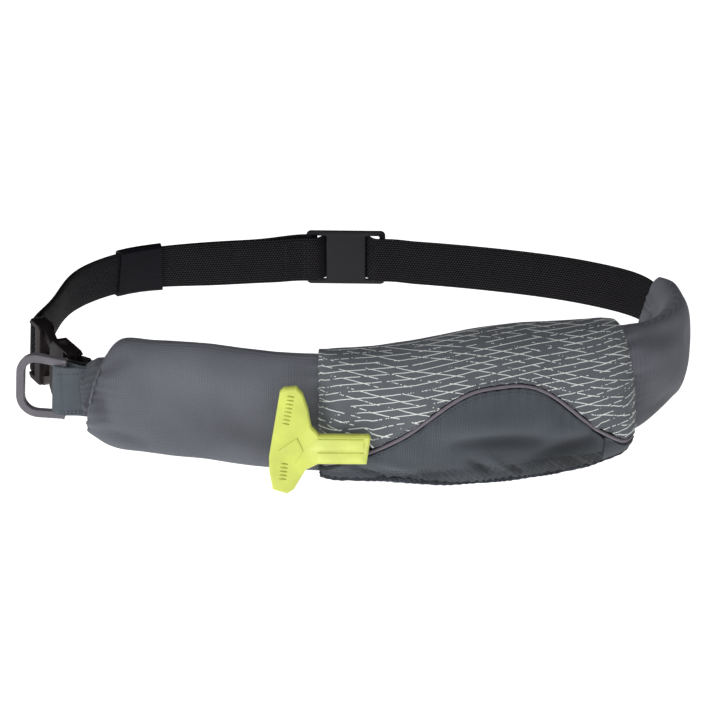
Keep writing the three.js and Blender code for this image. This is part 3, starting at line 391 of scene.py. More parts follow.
def rounded_copy(node, name, radius, segments=2):
    """A copy of a hard CAD piece with its flat faces made whole and its edges rounded."""
    bm = bmesh.new()
    bm.from_mesh(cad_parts[node].data)
    bmesh.ops.remove_doubles(bm, verts=bm.verts, dist=MERGE_WITHIN)
    bmesh.ops.dissolve_limit(
        bm, angle_limit=FLAT_WITHIN, use_dissolve_boundaries=False, verts=bm.verts,
        edges=bm.edges)
    sharp = [e for e in bm.edges if len(e.link_faces) == 2 and e.calc_face_angle() > SHARP_EDGE]
    bmesh.ops.bevel(
        bm, geom=sharp, offset=radius, offset_type="OFFSET", segments=segments, profile=0.5,
        affect="EDGES", clamp_overlap=True, material=-1)
    bmesh.ops.triangulate(bm, faces=[f for f in bm.faces if len(f.verts) > 4])
    mesh = bpy.data.meshes.new(name)
    bm.to_mesh(mesh)
    bm.free()
    for polygon in mesh.polygons:
        polygon.use_smooth = True
    mesh.set_sharp_from_angle(angle=SMOOTH_UP_TO)
    made = bpy.data.objects.new(name, mesh)
    bpy.context.scene.collection.objects.link(made)
    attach(made, "belt")
    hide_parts(node)
    return made


def mould_group():
    """Fine moulded grain with smudges and scuffs: a height, a roughness and a tone."""
    tree, given, made = new_group("moulded grain and scuffs", (
        ("Place", "NodeSocketVector", None),
        ("Grain", "NodeSocketFloat", 2500.0),
        ("Rough", "NodeSocketFloat", 0.45),
    ), (("Height", "NodeSocketFloat"), ("Roughness", "NodeSocketFloat"),
        ("Tone", "NodeSocketFloat")))
    grain = add_node(tree, "ShaderNodeTexNoise")
    tree.links.new(given.outputs["Place"], grain.inputs["Vector"])
    tree.links.new(given.outputs["Grain"], grain.inputs["Scale"])
    smudge = add_node(tree, "ShaderNodeTexNoise")
    smudge.inputs["Scale"].default_value = 55.0
    smudge.inputs["Detail"].default_value = 5.0
    tree.links.new(given.outputs["Place"], smudge.inputs["Vector"])
    rough = reckon(tree, "MULTIPLY_ADD", reckon(tree, "SUBTRACT", smudge.outputs[0], 0.5), 0.35,
                   given.outputs["Rough"])
    tone = reckon(tree, "MULTIPLY_ADD", smudge.outputs[0], 0.5, 0.75)
    tree.links.new(grain.outputs[0], made.inputs["Height"])
    tree.links.new(rough, made.inputs["Roughness"])
    tree.links.new(tone, made.inputs["Tone"])
    return tree


moulded_grain = mould_group()


def plastic_material(name, colour, worn, rough, grain=2500.0, relief=0.00004, shine=0.3):
    """Satin moulded plastic: grain, smudged roughness, and edges rubbed to a lighter tone."""
    material = bpy.data.materials.new(name)
    material.use_nodes = True
    tree = material.node_tree
    shader = tree.nodes["Principled BSDF"]
    shader.inputs["Specular IOR Level"].default_value = shine
    where = add_node(tree, "ShaderNodeTexCoord")
    skin = place_group(tree, moulded_grain, Place=where.outputs["Object"], Grain=grain, Rough=rough)
    geometry = add_node(tree, "ShaderNodeNewGeometry")
    edge = add_node(tree, "ShaderNodeMapRange")
    edge.inputs["From Min"].default_value = 0.56
    edge.inputs["From Max"].default_value = 0.80
    tree.links.new(geometry.outputs["Pointiness"], edge.inputs["Value"])
    rubbed = reckon(tree, "MULTIPLY", edge.outputs[0], skin.outputs["Tone"])
    mix = add_node(tree, "ShaderNodeMix", data_type="RGBA")
    mix.inputs["A"].default_value = (*colour, 1)
    mix.inputs["B"].default_value = (*worn, 1)
    tree.links.new(rubbed, mix.inputs["Factor"])
    tint = add_node(tree, "ShaderNodeVectorMath", operation="SCALE")
    tree.links.new(mix.outputs["Result"], tint.inputs[0])
    tree.links.new(skin.outputs["Tone"], tint.inputs["Scale"])
    tree.links.new(tint.outputs[0], shader.inputs["Base Color"])
    tree.links.new(skin.outputs["Roughness"], shader.inputs["Roughness"])
    bump = add_node(tree, "ShaderNodeBump")
    bump.inputs["Distance"].default_value = relief
    tree.links.new(skin.outputs["Height"], bump.inputs["Height"])
    tree.links.new(bump.outputs[0], shader.inputs["Normal"])
    return material


slider = rounded_copy("strap_slider", "belt_slider", 0.0006)
slider.data.materials.append(plastic_material(
    "satin black plastic", (0.017, 0.0155, 0.0190), (0.05, 0.047, 0.052), 0.42, shine=0.17))
keeper = rounded_copy("strap_keeper", "belt_keeper", 0.0005)
keeper.data.materials.append(plastic_material(
    "smooth black keeper", (0.0060, 0.0054, 0.0082), (0.045, 0.042, 0.052), 0.40, grain=420.0,
    relief=0.0004, shine=0.07))

# Buckle: the socket and the prongs of a side release buckle, fastened. Brown-black acetal,
# satin, paler along the moulded edges.
brown_black = plastic_material(
    "brown black acetal", (0.0085, 0.0063, 0.0067), (0.050, 0.041, 0.042), 0.46, shine=0.05)
for node, name in (("buckle_socket", "buckle_socket_half"), ("buckle_prongs", "buckle_prong_half")):
    half = rounded_copy(node, name, 0.0007)
    half.data.materials.append(brown_black)

# Ring tab: a loop of blue-grey webbing folded round the ring's bar and sewn into the sleeve's
# end, with a row of stitches near each edge.
tab = finer_copy("ring_tab", "grey_ring_tab", 3, 0.7)
lay_weave(tab)
tab.data.materials.append(cloth_material(
    "grey webbing", (0.094, 0.112, 0.131), 900.0, 900.0, relief=0.00025, rough=0.8, depth=0.6,
    patch=70.0))
grey_thread = cloth_material(
    "dark grey sewing thread", (0.045, 0.052, 0.062), 2500.0, 2500.0, relief=0.00005, rough=0.7)
tab_low, tab_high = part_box("ring_tab")
tab_places = belt_place(np.array([tab_low, tab_high]))
TAB_FROM = min(tab_places[:, 0]) + 0.004
TAB_TO = 0.0890
TAB_ROWS = (-0.0172, -0.0152, 0.0142)
stitch_row(
    "tab_stitches", tab, [[(x, z) for x in np.linspace(TAB_FROM, TAB_TO, 8)] for z in TAB_ROWS],
    0.0027, 0.0021, 0.00055, grey_thread)

# D-ring: grey satin plastic with a bevelled face all round, hanging loose on its bar. Its
# lengths run out from the bar's middle and up along the bar, in metres.
RING_BAR_AT = Vector((-0.208851, -0.115882, 0.000517))
RING_BAR_ALONG = Vector((0.0865, -0.0105, 0.9962)).normalized()
RING_FAR = 0.0337
RING_BAR_HALF = 0.0028
RING_FAR_HALF = 0.0262
RING_NEAR_HALF = 0.0234
RING_STOCK = 0.0058
RING_THICK = 0.0050
RING_CORNER = 0.0170
RING_HIP = 0.0022
RING_EDGE = 0.0015
FAR_SHARE = 0.97
ring_reach = [v.co - RING_BAR_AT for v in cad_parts["d_ring"].data.vertices]
ring_reach = [r - RING_BAR_ALONG * r.dot(RING_BAR_ALONG) for r in ring_reach]
farthest = FAR_SHARE * max(r.length for r in ring_reach)
ring_out = sum((r for r in ring_reach if r.length > farthest), Vector()).normalized()
ring_face = ring_out.cross(RING_BAR_ALONG).normalized()
bm = bmesh.new()
corners = [
    bm.verts.new((x, y, -RING_THICK / 2)) for x, y in (
        (RING_FAR, -RING_FAR_HALF), (RING_FAR, RING_FAR_HALF),
        (-RING_BAR_HALF, RING_NEAR_HALF), (-RING_BAR_HALF, -RING_NEAR_HALF))]
bm.faces.new(corners)
for pair, radius, steps in ((corners[:2], RING_CORNER, 9), (corners[2:], RING_HIP, 3)):
    bmesh.ops.bevel(bm, geom=pair, offset=radius, offset_type="OFFSET", segments=steps,
                    profile=0.5, affect="VERTICES", clamp_overlap=False, material=-1)
bm.faces.ensure_lookup_table()
rim = bmesh.ops.inset_region(bm, faces=bm.faces[:], thickness=RING_STOCK, use_even_offset=True,
                             use_boundary=True)
bmesh.ops.delete(bm, geom=[f for f in bm.faces if f not in rim["faces"]], context="FACES")
raised = bmesh.ops.extrude_face_region(bm, geom=bm.faces[:])
bmesh.ops.translate(bm, vec=(0, 0, RING_THICK),
                    verts=[v for v in raised["geom"] if isinstance(v, bmesh.types.BMVert)])
bmesh.ops.recalc_face_normals(bm, faces=bm.faces)
bmesh.ops.bevel(
    bm, geom=[e for e in bm.edges if e.calc_face_angle(0) > math.radians(60)], offset=RING_EDGE,
    offset_type="OFFSET", segments=1, profile=0.5, affect="EDGES", clamp_overlap=True,
    material=-1)
bmesh.ops.transform(
    bm, matrix=Matrix.Translation(RING_BAR_AT)
    @ Matrix((ring_out, RING_BAR_ALONG, ring_face)).transposed().to_4x4(), verts=bm.verts)
bmesh.ops.recalc_face_normals(bm, faces=bm.faces)
ring_mesh = bpy.data.meshes.new("grey_d_ring")
bm.to_mesh(ring_mesh)
bm.free()
for polygon in ring_mesh.polygons:
    polygon.use_smooth = True
ring_mesh.set_sharp_from_angle(angle=math.radians(30))
ring = bpy.data.objects.new("grey_d_ring", ring_mesh)
bpy.context.scene.collection.objects.link(ring)
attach(ring, "ring")
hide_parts("d_ring")
ring.data.materials.append(plastic_material(
    "grey ring plastic", (0.120, 0.113, 0.130), (0.24, 0.235, 0.25), 0.40, shine=0.35))

# Long sleeve: coated grey cloth over a thin pad, on the belt to the left of the pouch. It is
# gathered to the belt at its free end, and sewn flat into the pouch's seam.
SLEEVE_FREE_END = 0.0954
POUCH_LEFT = 0.2564
WALL_MIDDLE = 0.004
SKIN_TURNS_WITHIN = 0.003
DEEPEST_SHADE = 0.45
SHADE_DEPTH = 0.004


def ripple(places, pitch, seed):
    """Waves along a list of distances, with an uneven pitch."""
    shift = np.array([noise.noise(Vector((x / (pitch * 3), seed, 0))) for x in places])
    return np.sin(2 * math.pi * (places / pitch + 1.3 * shift))


def softness(coords, size, seed):
    """Smooth noise from -1 to 1 over a piece, at a size in metres."""
    scale = 1 / size
    return np.array([noise.noise(Vector(c) * scale + Vector((seed, 0, 0))) for c in coords])


def folded(lift, place, folds):
    """Adds folds to a lift. Each row is a fold's start and end, as places (along, height), its
    depth, which is negative for a ridge, and its width."""
    for start, end, depth, width in folds:
        a = np.array(start)
        run = np.array(end) - a
        flat = place[:, (0, 2)] - a
        share = np.clip((flat @ run) / (run @ run), 0, 1)
        gap = np.linalg.norm(flat - share[:, None] * run, axis=1)
        fade = np.sin(math.pi * np.clip(0.08 + 0.92 * share, 0, 1)) ** 0.6
        lift = lift + -depth * fade * np.exp(-((gap / width) ** 2))
    return lift


def press(obj, lift, painted_light_level=0.0):
    """Moves a piece's wall in or out as a whole, and paints shade into its hollows and light onto
    its ridges, shifted by a given painted light level that darkens where it is below nought.
    """
    coords, normals, place = place_of(obj)
    step = np.gradient(line_points, axis=0)
    step /= np.linalg.norm(step, axis=1)[:, None]
    away = np.stack([
        np.interp(place[:, 0], line_along, step[:, 1]),
        -np.interp(place[:, 0], line_along, step[:, 0]),
    ], axis=1) * (place[:, 1] - WALL_MIDDLE)[:, None]
    outward = (normals[:, :2] * away).sum(axis=1) + normals[:, 2] * place[:, 2]
    skin = np.clip(outward / SKIN_TURNS_WITHIN, -1, 1)
    coords = coords + normals * (lift * skin)[:, None]
    obj.data.vertices.foreach_set("co", coords.ravel())
    obj.data.update()
    painted_light_shade = obj.data.attributes.new("painted_light_shade", "FLOAT", "POINT")
    # Painted light and shade: hollows darker, ridges lighter, plus the given painted light level.
    shade = DEEPEST_SHADE * np.tanh(lift / SHADE_DEPTH) + painted_light_level
    painted_light_shade.data.foreach_set("value", (shade * np.abs(skin)).astype(np.float32))


long_sleeve = finer_copy("sleeve_long", "long_sleeve", 3, 0.5)
lay_weave(long_sleeve)
coords, _, place = place_of(long_sleeve)
from_end = np.clip(place[:, 0] - SLEEVE_FREE_END + 0.006, 0, None)
round_section = np.arctan2(place[:, 2], place[:, 1] - WALL_MIDDLE)
gather = np.exp(-from_end / 0.012) * ripple(round_section * 0.03, 0.0105, 2.0) * 0.0008
to_seam = np.clip(POUCH_LEFT - place[:, 0], 0, None)
pucker = np.exp(-to_seam / 0.007) * ripple(place[:, 2], 0.0085, 5.0) * 0.0005
lift = (
    gather + pucker + softness(coords, 0.045, 3.0) * 0.0014 + softness(coords, 0.016, 7.0) * 0.0004
)
# The folds' hollows take painted shade and their ridges painted light.
press(long_sleeve, folded(lift, place, (
    # start, end, depth, width
    ((0.100, 0.008), (0.103, -0.018), 0.0034, 0.006),
    ((0.098, 0.018), (0.126, 0.034), 0.0022, 0.005),
    ((0.104, -0.026), (0.135, -0.036), 0.0020, 0.006),
    ((0.180, -0.014), (0.245, -0.022), 0.0022, 0.012),
    ((0.150, 0.024), (0.230, 0.020), -0.0016, 0.012),
)))
sleeve_cloth = cloth_material(
    "coated grey sleeve cloth", (0.133, 0.140, 0.163), 820.0, 820.0, relief=0.00016, rough=0.78,
    depth=0.5, patch=22.0, contrast=0.42, shows_painted_light_shade=True)
long_sleeve.data.materials.append(sleeve_cloth)

# Sleeve end: the same cloth tucked under and drawn in round the strap and the tab, so that it lies
# in small sharp gathers. Its colour is painted darker than the sleeve's as the shade of those
# gathers.
DRAWN_BY = 0.18
DRAWN_OVER = 0.010
sleeve_end = finer_copy("sleeve_end", "gathered_sleeve_end", 3, 0.5)
lay_weave(sleeve_end)
coords, _, place = place_of(sleeve_end)
round_section = np.arctan2(place[:, 2], place[:, 1] - WALL_MIDDLE)
drawn = np.clip((SLEEVE_FREE_END + 0.001 - place[:, 0]) / DRAWN_OVER, 0, 1)
coords[:, 2] *= 1 - DRAWN_BY * drawn
sleeve_end.data.vertices.foreach_set("co", coords.ravel())
sleeve_end.data.update()
press(sleeve_end, ripple(round_section * 0.02, 0.0062, 9.0) * 0.0005
      + softness(coords, 0.012, 4.0) * 0.0005)
# Painted shade: the sleeve's cloth given a darker colour.
sleeve_end.data.materials.append(cloth_material(
    "grey cloth drawn in, painted darker as shade", (0.073, 0.079, 0.092), 1500.0, 1500.0, relief=0.0001, rough=0.8,
    depth=0.8, patch=60.0, sheen=0.2))

# Short sleeve: the same cloth on the right of the pouch, narrowing towards its mouth, where the
# belt comes out under a soft lip with two small folds and a row of stitches.
POUCH_RIGHT = 0.4754
SHORT_SLEEVE_MOUTH = 0.6334
MOUTH_ROW_AT = 0.622
MOUTH_ROW_LEAN = 0.28
MOUTH_ROW_HALF = 0.022
short_sleeve = finer_copy("sleeve_short", "short_sleeve", 3, 0.5)
lay_weave(short_sleeve)
coords, _, place = place_of(short_sleeve)
to_mouth = np.clip(SHORT_SLEEVE_MOUTH - place[:, 0], 0, None)
from_seam = np.clip(place[:, 0] - POUCH_RIGHT, 0, None)
round_section = np.arctan2(place[:, 2], place[:, 1] - WALL_MIDDLE)
lift = (
    np.exp(-from_seam / 0.008) * ripple(place[:, 2], 0.009, 12.0) * 0.0006
    + np.exp(-to_mouth / 0.010) * ripple(round_section * 0.03, 0.018, 6.0) * 0.0006
    + softness(coords, 0.05, 13.0) * 0.0016 + softness(coords, 0.018, 17.0) * 0.0004
)
lift = folded(lift, place, (
    ((0.482, 0.038), (0.536, 0.022), 0.0040, 0.010),
    ((0.484, 0.020), (0.510, -0.020), -0.0022, 0.012),
    ((0.490, -0.022), (0.540, -0.030), 0.0018, 0.008),
    ((0.625, -0.020), (0.600, -0.010), 0.0022, 0.004),
    ((0.628, -0.010), (0.606, 0.004), 0.0020, 0.004),
))
# Painted light and shade: the whole sleeve is painted darker as shade, less so along its middle,
# and painted lighter towards its top as light from above; its folds' hollows take painted shade
# too.
painted_light_middle = np.clip((place[:, 0] - 0.490) / 0.030, 0, 1) * np.clip((0.60 - place[:, 0]) / 0.05, 0, 1)
painted_light_on_top = np.clip((place[:, 2] - 0.006) / 0.014, 0, 1)
press(short_sleeve, lift, painted_light_level=-0.17 + 0.10 * painted_light_middle + 0.40 * painted_light_on_top)
short_sleeve.data.materials.append(sleeve_cloth)
sleeve_thread = cloth_material(
    "grey sleeve thread", (0.10, 0.104, 0.118), 2500.0, 2500.0, relief=0.00005, rough=0.7)
mouth_row = [
    (MOUTH_ROW_AT - MOUTH_ROW_LEAN * z, z)
    for z in np.linspace(-MOUTH_ROW_HALF, MOUTH_ROW_HALF, 12)]
stitch_row(
    "sleeve_mouth_stitches", short_sleeve, [mouth_row, [(*spot, 1) for spot in mouth_row]],
    0.0034, 0.0026, 0.0005, sleeve_thread)

# Pouch back: one plain panel of coated cloth that lies against the wearer, sewn to the hem below
# and to the upper panel above.
pouch_back = finer_copy("pouch_back", "pouch_back_panel", 3, 0.6)
lay_weave(pouch_back)
coords, _, place = place_of(pouch_back)
# Its soft dents' hollows take painted shade and their rises painted light.
press(pouch_back, softness(coords, 0.05, 21.0) * 0.0009 + softness(coords, 0.014, 23.0) * 0.0002)
pouch_cloth = cloth_material(
    "coated grey pouch cloth", (0.078, 0.089, 0.104), 940.0, 940.0, relief=0.00014, rough=0.74,
    depth=0.55, patch=24.0, contrast=0.42, shows_painted_light_shade=True)
pouch_back.data.materials.append(pouch_cloth)

# Upper panel: the pouch's bulging front and top, of the same cloth with a pale line print, drawn
# tight over what is packed inside and puckered a little along the piping.
LANYARD_AT = 0.2824
SEAM_INSET = 0.010
piping_place = belt_place(np.array([v.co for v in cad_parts["piping"].data.vertices]))
bins = np.linspace(piping_place[:, 0].min(), piping_place[:, 0].max(), 60)
seam_height = np.array([
    piping_place[np.abs(piping_place[:, 0] - b) < 0.004, 2].mean() for b in bins])


def above_piping(place):
    """How far above the piping each place is."""
    return place[:, 2] - np.interp(place[:, 0], bins, seam_height)


def seam_path(offset, end=SEAM_INSET):
    """Places along the piping, at an offset above it."""
    return [(a, float(np.interp(a, bins, seam_height)) + offset)
            for a in np.linspace(bins[0] + SEAM_INSET, bins[-1] - end, 90)]


upper_panel = finer_copy("pouch_top_panel", "printed_upper_panel", 3, 0.6)
lay_weave(upper_panel)
coords, _, place = place_of(upper_panel)
above = np.clip(above_piping(place), 0, None)
from_side = np.minimum(place[:, 0] - POUCH_LEFT, POUCH_RIGHT - place[:, 0]).clip(0)
lift = (
    np.exp(-above / 0.006) * ripple(place[:, 0], 0.0078, 31.0) * 0.00045
    + np.exp(-from_side / 0.008) * ripple(place[:, 2], 0.010, 33.0) * 0.0005
    + softness(coords, 0.055, 35.0) * 0.0012 + softness(coords, 0.02, 37.0) * 0.0003
)
# The puckers' and dents' hollows take painted shade and their ridges painted light.
press(upper_panel, lift)

# The panel's foot comes down to the piping everywhere but beside the handle's cord
coords, _, place = place_of(upper_panel)
over = above_piping(place)
panel_bins = np.linspace(bins[0], bins[-1], 140)
foot = np.array([
    over[np.abs(place[:, 0] - b) < 0.0022].min(initial=0.01) for b in panel_bins])
slack = np.clip(np.interp(place[:, 0], panel_bins, foot) - np.median(foot), 0, None)
past = np.clip((place[:, 0] - LANYARD_AT - 0.0025) / 0.005, 0, 1)
height_over_foot = np.clip(over - np.interp(place[:, 0], panel_bins, foot), 0, None)
coords[:, 2] -= slack * past * np.exp(-height_over_foot / 0.010)
upper_panel.data.vertices.foreach_set("co", coords.ravel())
upper_panel.data.update()

# The print lies on the cloth as it was when flat, so its upward measure runs on over the top
TOP_RUN = 0.85
FOOT_RUN = 0.25
front = np.array([
    place[np.abs(place[:, 0] - b) < 0.006, 1].max(initial=0.01) for b in panel_bins])
inward = np.clip(np.interp(place[:, 0], panel_bins, front) - place[:, 1], 0, None)
unrolled = place[:, 2] + np.where(place[:, 2] > 0, TOP_RUN, FOOT_RUN) * inward * (
    np.clip(np.abs(place[:, 2]) / 0.02, 0, 1))
layer = upper_panel.data.attributes.new("print", "FLOAT_VECTOR", "POINT")
layer.data.foreach_set("vector", np.stack(
    [place[:, 0], unrolled, np.zeros(len(place))], axis=1).astype(np.float32).ravel())


def print_group():
    """Broken pinstripes in one direction, evenly spaced: a mask of the printed line."""
    tree, given, made = new_group("broken pinstripes", (
        ("Place", "NodeSocketVector", None),
        ("Turn", "NodeSocketFloat", 0.2),
        ("Pitch", "NodeSocketFloat", 0.0075),
        ("Width", "NodeSocketFloat", 0.1),
        ("Break", "NodeSocketFloat", 0.5),
        ("Seed", "NodeSocketFloat", 0.0),
    ), (("Line", "NodeSocketFloat"),))
    turn = add_node(tree, "ShaderNodeVectorRotate", rotation_type="Z_AXIS")
    tree.links.new(given.outputs["Place"], turn.inputs["Vector"])
    tree.links.new(given.outputs["Turn"], turn.inputs["Angle"])
    split = add_node(tree, "ShaderNodeSeparateXYZ")
    tree.links.new(turn.outputs[0], split.inputs[0])
    rank = reckon(tree, "DIVIDE", split.outputs[1], given.outputs["Pitch"])
    off = reckon(tree, "ABSOLUTE", reckon(tree, "SUBTRACT", reckon(tree, "FRACT", rank), 0.5))
    row = reckon(tree, "FLOOR", rank)
    along = add_node(tree, "ShaderNodeCombineXYZ")
    tree.links.new(reckon(tree, "MULTIPLY", split.outputs[0], 42.0), along.inputs[0])
    tree.links.new(reckon(tree, "MULTIPLY_ADD", row, 7.31, given.outputs["Seed"]), along.inputs[1])
    gaps = add_node(tree, "ShaderNodeTexNoise")
    gaps.inputs["Scale"].default_value = 1.0
    gaps.inputs["Detail"].default_value = 5.0
    gaps.inputs["Roughness"].default_value = 0.82
    tree.links.new(along.outputs[0], gaps.inputs["Vector"])
    worn = add_node(tree, "ShaderNodeTexNoise")
    worn.inputs["Scale"].default_value = 900.0
    tree.links.new(given.outputs["Place"], worn.inputs["Vector"])
    half = reckon(tree, "MULTIPLY", given.outputs["Width"],
                  reckon(tree, "MULTIPLY_ADD", worn.outputs[0], 0.5, 0.25))
    line = add_node(tree, "ShaderNodeMapRange", interpolation_type="SMOOTHSTEP")
    line.inputs["To Min"].default_value = 1.0
    line.inputs["To Max"].default_value = 0.0
    tree.links.new(off, line.inputs["Value"])
    tree.links.new(reckon(tree, "MULTIPLY", half, 0.7), line.inputs["From Min"])
    tree.links.new(reckon(tree, "MULTIPLY", half, 1.15), line.inputs["From Max"])
    whole = reckon(tree, "GREATER_THAN", gaps.outputs[0], given.outputs["Break"])
    tree.links.new(reckon(tree, "MULTIPLY", line.outputs[0], whole), made.inputs["Line"])
    return tree


pinstripes = print_group()
printed_cloth = cloth_material(
    "grey cloth with a pale line print", (0.128, 0.140, 0.155), 1700.0, 1700.0, relief=0.00009,
    rough=0.76, depth=0.4, patch=20.0, shows_painted_light_shade=True)
tree = printed_cloth.node_tree
shader = tree.nodes["Principled BSDF"]
ground = shader.inputs["Base Color"].links[0].from_socket
flat_place = add_node(tree, "ShaderNodeAttribute", attribute_name="print")
stripes = [
    place_group(tree, pinstripes, Place=flat_place.outputs["Vector"], Turn=turn, Pitch=pitch,
                Width=width, Break=gap, Seed=seed).outputs[0]
    for turn, pitch, width, gap, seed in (
        (math.radians(-8), 0.0060, 0.125, 0.455, 3.0),
        (math.radians(19), 0.0069, 0.110, 0.485, 11.0),
    )
]
inked = reckon(tree, "MAXIMUM", *stripes)
ink = add_node(tree, "ShaderNodeMix", data_type="RGBA")
ink.inputs["B"].default_value = (0.80, 0.82, 0.80, 1)
tree.links.new(reckon(tree, "MULTIPLY", inked, 0.92), ink.inputs["Factor"])
tree.links.new(ground, ink.inputs["A"])
tree.links.new(ink.outputs["Result"], shader.inputs["Base Color"])
upper_panel.data.materials.append(printed_cloth)
stitch_row("upper_panel_stitches", upper_panel, [seam_path(0.0042)], 0.0030, 0.0023, 0.00045,
           grey_thread)

# Flap and pleated corner: plain grey cloth below the piping, slack enough to take dents and
# pinched folds; the corner tucks under the flap's end.
HEM_LINE = -0.043
flap = finer_copy("pouch_flap", "pouch_lower_flap", 3, 0.6)
lay_weave(flap)
coords, _, place = place_of(flap)
below = np.clip(-above_piping(place), 0, None)
over_hem = np.clip(place[:, 2] - HEM_LINE, 0, None)
lift = (
    np.exp(-below / 0.006) * ripple(place[:, 0], 0.0085, 41.0) * 0.0004
    + np.exp(-over_hem / 0.005) * ripple(place[:, 0], 0.0054, 43.0) * 0.0003
    + softness(coords, 0.04, 45.0) * 0.0013 + softness(coords, 0.014, 47.0) * 0.0004
)
lift = folded(lift, place, (
    ((0.342, -0.014), (0.412, -0.020), 0.0034, 0.005),
    ((0.330, -0.004), (0.424, -0.006), -0.0024, 0.009),
    ((0.352, -0.030), (0.372, -0.048), 0.0028, 0.003),
    ((0.364, -0.028), (0.380, -0.044), -0.0016, 0.004),
    ((0.384, -0.040), (0.396, -0.050), 0.0024, 0.003),
    ((0.276, -0.030), (0.300, -0.044), 0.0022, 0.003),
    ((0.290, -0.026), (0.320, -0.036), -0.0016, 0.004),
    ((0.404, -0.034), (0.450, -0.024), 0.0036, 0.007),
    ((0.412, -0.014), (0.446, -0.014), -0.0018, 0.006),
    ((0.300, -0.046), (0.345, -0.040), 0.0018, 0.004),
))
# Painted shade: the flap's lower right and its strip along the hem are painted darker, as are its
# folds' hollows; its ridges take painted light.
painted_shade_lower_right = np.clip((place[:, 0] - 0.36) / 0.07, 0, 1) * np.clip(
    (-0.012 - place[:, 2]) / 0.012, 0, 1)
near_hem = np.clip((0.007 - over_hem) / 0.002, 0, 1)
lift = lift + near_hem * (ripple(place[:, 0] + place[:, 2], 0.0034, 49.0) * 0.00035 - 0.0004)
press(flap, lift, painted_light_level=-0.42 * painted_shade_lower_right - 0.22 * near_hem)
flap.data.materials.append(pouch_cloth)
hem_row = [(x, HEM_LINE + 0.0072) for x in np.linspace(0.262, 0.448, 60)]
stitch_row(
    "flap_stitches", flap, [seam_path(-0.0042, end=0.034), hem_row],
    0.0030, 0.0023, 0.00045, grey_thread)
corner = finer_copy("pouch_corner", "pouch_pleated_corner", 3, 0.6)
lay_weave(corner)
coords, _, place = place_of(corner)
# Painted shade: the corner, tucked under the flap's end, is painted darker as a whole and in its
# pleat's hollow.
press(corner, folded(softness(coords, 0.02, 51.0) * 0.0006, place, (
    ((0.450, -0.036), (0.472, -0.020), 0.0012, 0.004),)), painted_light_level=-0.22)
corner.data.materials.append(pouch_cloth)

# Hem: a darker woven binding folded round the pouch's lower edge, from the flap to the back. It
# is drawn up on its thread, so it lies in small gathers.
hem = finer_copy("pouch_hem", "gathered_hem", 3, 0.5)
lay_weave(hem)
coords, _, place = place_of(hem)
press(hem, ripple(place[:, 0], 0.0058, 61.0) * 0.00018 + softness(coords, 0.016, 63.0) * 0.0005)
hem.data.materials.append(cloth_material(
    "dark grey binding", (0.066, 0.074, 0.094), 330.0, 240.0, slant=0.4, relief=0.0006,
    rough=0.82, depth=0.7, patch=60.0, contrast=0.45))

# Piping: a thin cord covered in pale grey-mauve cloth, sewn in between the upper panel and the
# flap along their curved seam.
piping = finer_copy("piping", "pale_piping", 1, 0.0)
lay_weave(piping)
piping.data.materials.append(cloth_material(
    "covered piping cord", (0.215, 0.190, 0.225), 1400.0, 1400.0, slant=1.0, relief=0.0002,
    rough=0.8, depth=0.6, patch=90.0))

# Pull handle: a T of lime yellow plastic with raised panels on its stem, an arrow where the stem
# meets the grip, and rows of moulded bars along the grip. One short black cord holds it.
handle = rounded_copy("pull_handle", "lime_pull_handle", 0.0013, segments=3)
lime = plastic_material(
    "lime yellow plastic", (0.61, 0.675, 0.128), (0.76, 0.84, 0.27), 0.42, relief=0.00002)
handle.data.materials.append(lime)
# Painted shade: the grip's moulded bars take a darker copy of the lime, standing in for the shade
# in their grooves.
lime_painted_groove_shade = plastic_material(
    "lime plastic with painted groove shade", (0.40, 0.46, 0.065), (0.55, 0.62, 0.12), 0.45, relief=0.00002)
stitch_row(
    "handle_grip_bars", handle,
    [[(0.2438, 0.0300), (0.2412, 0.0055)], [(0.2402, -0.0215), (0.2384, -0.0385)]],
    0.0030, 0.0012, 0.0012, lime_painted_groove_shade, wide=0.0058)
lanyard = finer_copy("handle_lanyard", "black_lanyard", 2, 0.6)
lay_weave(lanyard)
lanyard.data.materials.append(cloth_material(
    "black braided cord", (0.02, 0.02, 0.022), 900.0, 900.0, slant=1.0, relief=0.0003))

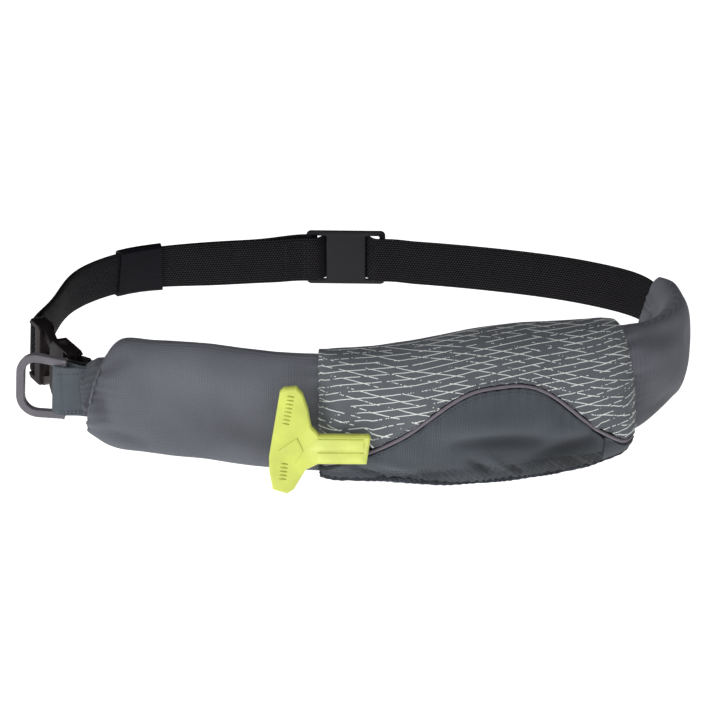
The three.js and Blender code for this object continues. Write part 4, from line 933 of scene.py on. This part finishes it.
# Studio: a plain pale floor well below the belt, which is held up as on a waist, and soft light
# from all round. The camera stands in front, looking down at 25 degrees.
FLOOR_HALF = 6.0
FLOOR_HEIGHT = -0.20
CAMERA_AT = (0.00456, -1.3482, 0.5977)
CAMERA_TILT = math.radians(65)
CAMERA_LENS = 95.4
floor_mesh = bmesh.new()
bmesh.ops.create_grid(floor_mesh, x_segments=1, y_segments=1, size=FLOOR_HALF,
                      matrix=Matrix.Translation((0, 0, FLOOR_HEIGHT)))
floor_data = bpy.data.meshes.new("studio_floor")
floor_mesh.to_mesh(floor_data)
floor_mesh.free()
floor = bpy.data.objects.new("studio_floor", floor_data)
bpy.context.scene.collection.objects.link(floor)
pale = bpy.data.materials.new("pale paper")
pale.use_nodes = True
for label, value in (
    ("Base Color", (0.90, 0.90, 0.90, 1)), ("Roughness", 0.9),
    ("Emission Color", (1, 1, 1, 1)), ("Emission Strength", 0.95),
):
    pale.node_tree.nodes["Principled BSDF"].inputs[label].default_value = value
floor_data.materials.append(pale)
world = bpy.data.worlds.new("studio")
world.use_nodes = True
sky = world.node_tree
way = add_node(sky, "ShaderNodeTexCoord")
split = add_node(sky, "ShaderNodeSeparateXYZ")
sky.links.new(way.outputs["Generated"], split.inputs[0])
sky.links.new(reckon(sky, "MULTIPLY_ADD", split.outputs[0], -0.14, 0.36),
              sky.nodes["Background"].inputs["Strength"])
bpy.context.scene.world = world
bpy.context.scene.view_settings.view_transform = "Standard"
for name, where, side, watts in (
    ("soft_light_left", (-1.5, -1.5, 0.9), 1.5, 23.0),
    ("soft_light_front", (0.2, -2.0, 1.2), 1.5, 13.0),
    ("soft_light_top", (-0.2, 0.5, 1.9), 1.6, 7.0),
):
    data = bpy.data.lights.new(name, "AREA")
    data.size = side
    data.energy = watts
    lamp = bpy.data.objects.new(name, data)
    lamp.location = where
    lamp.rotation_euler = (-Vector(where)).to_track_quat("-Z", "Y").to_euler()
    bpy.context.scene.collection.objects.link(lamp)
camera_data = bpy.data.cameras.new("photo_view")
camera_data.sensor_width = 36.0
camera_data.lens = CAMERA_LENS
camera = bpy.data.objects.new("photo_view", camera_data)
camera.location = CAMERA_AT
camera.rotation_euler = (CAMERA_TILT, 0, 0)
bpy.context.scene.collection.objects.link(camera)
bpy.context.scene.camera = camera
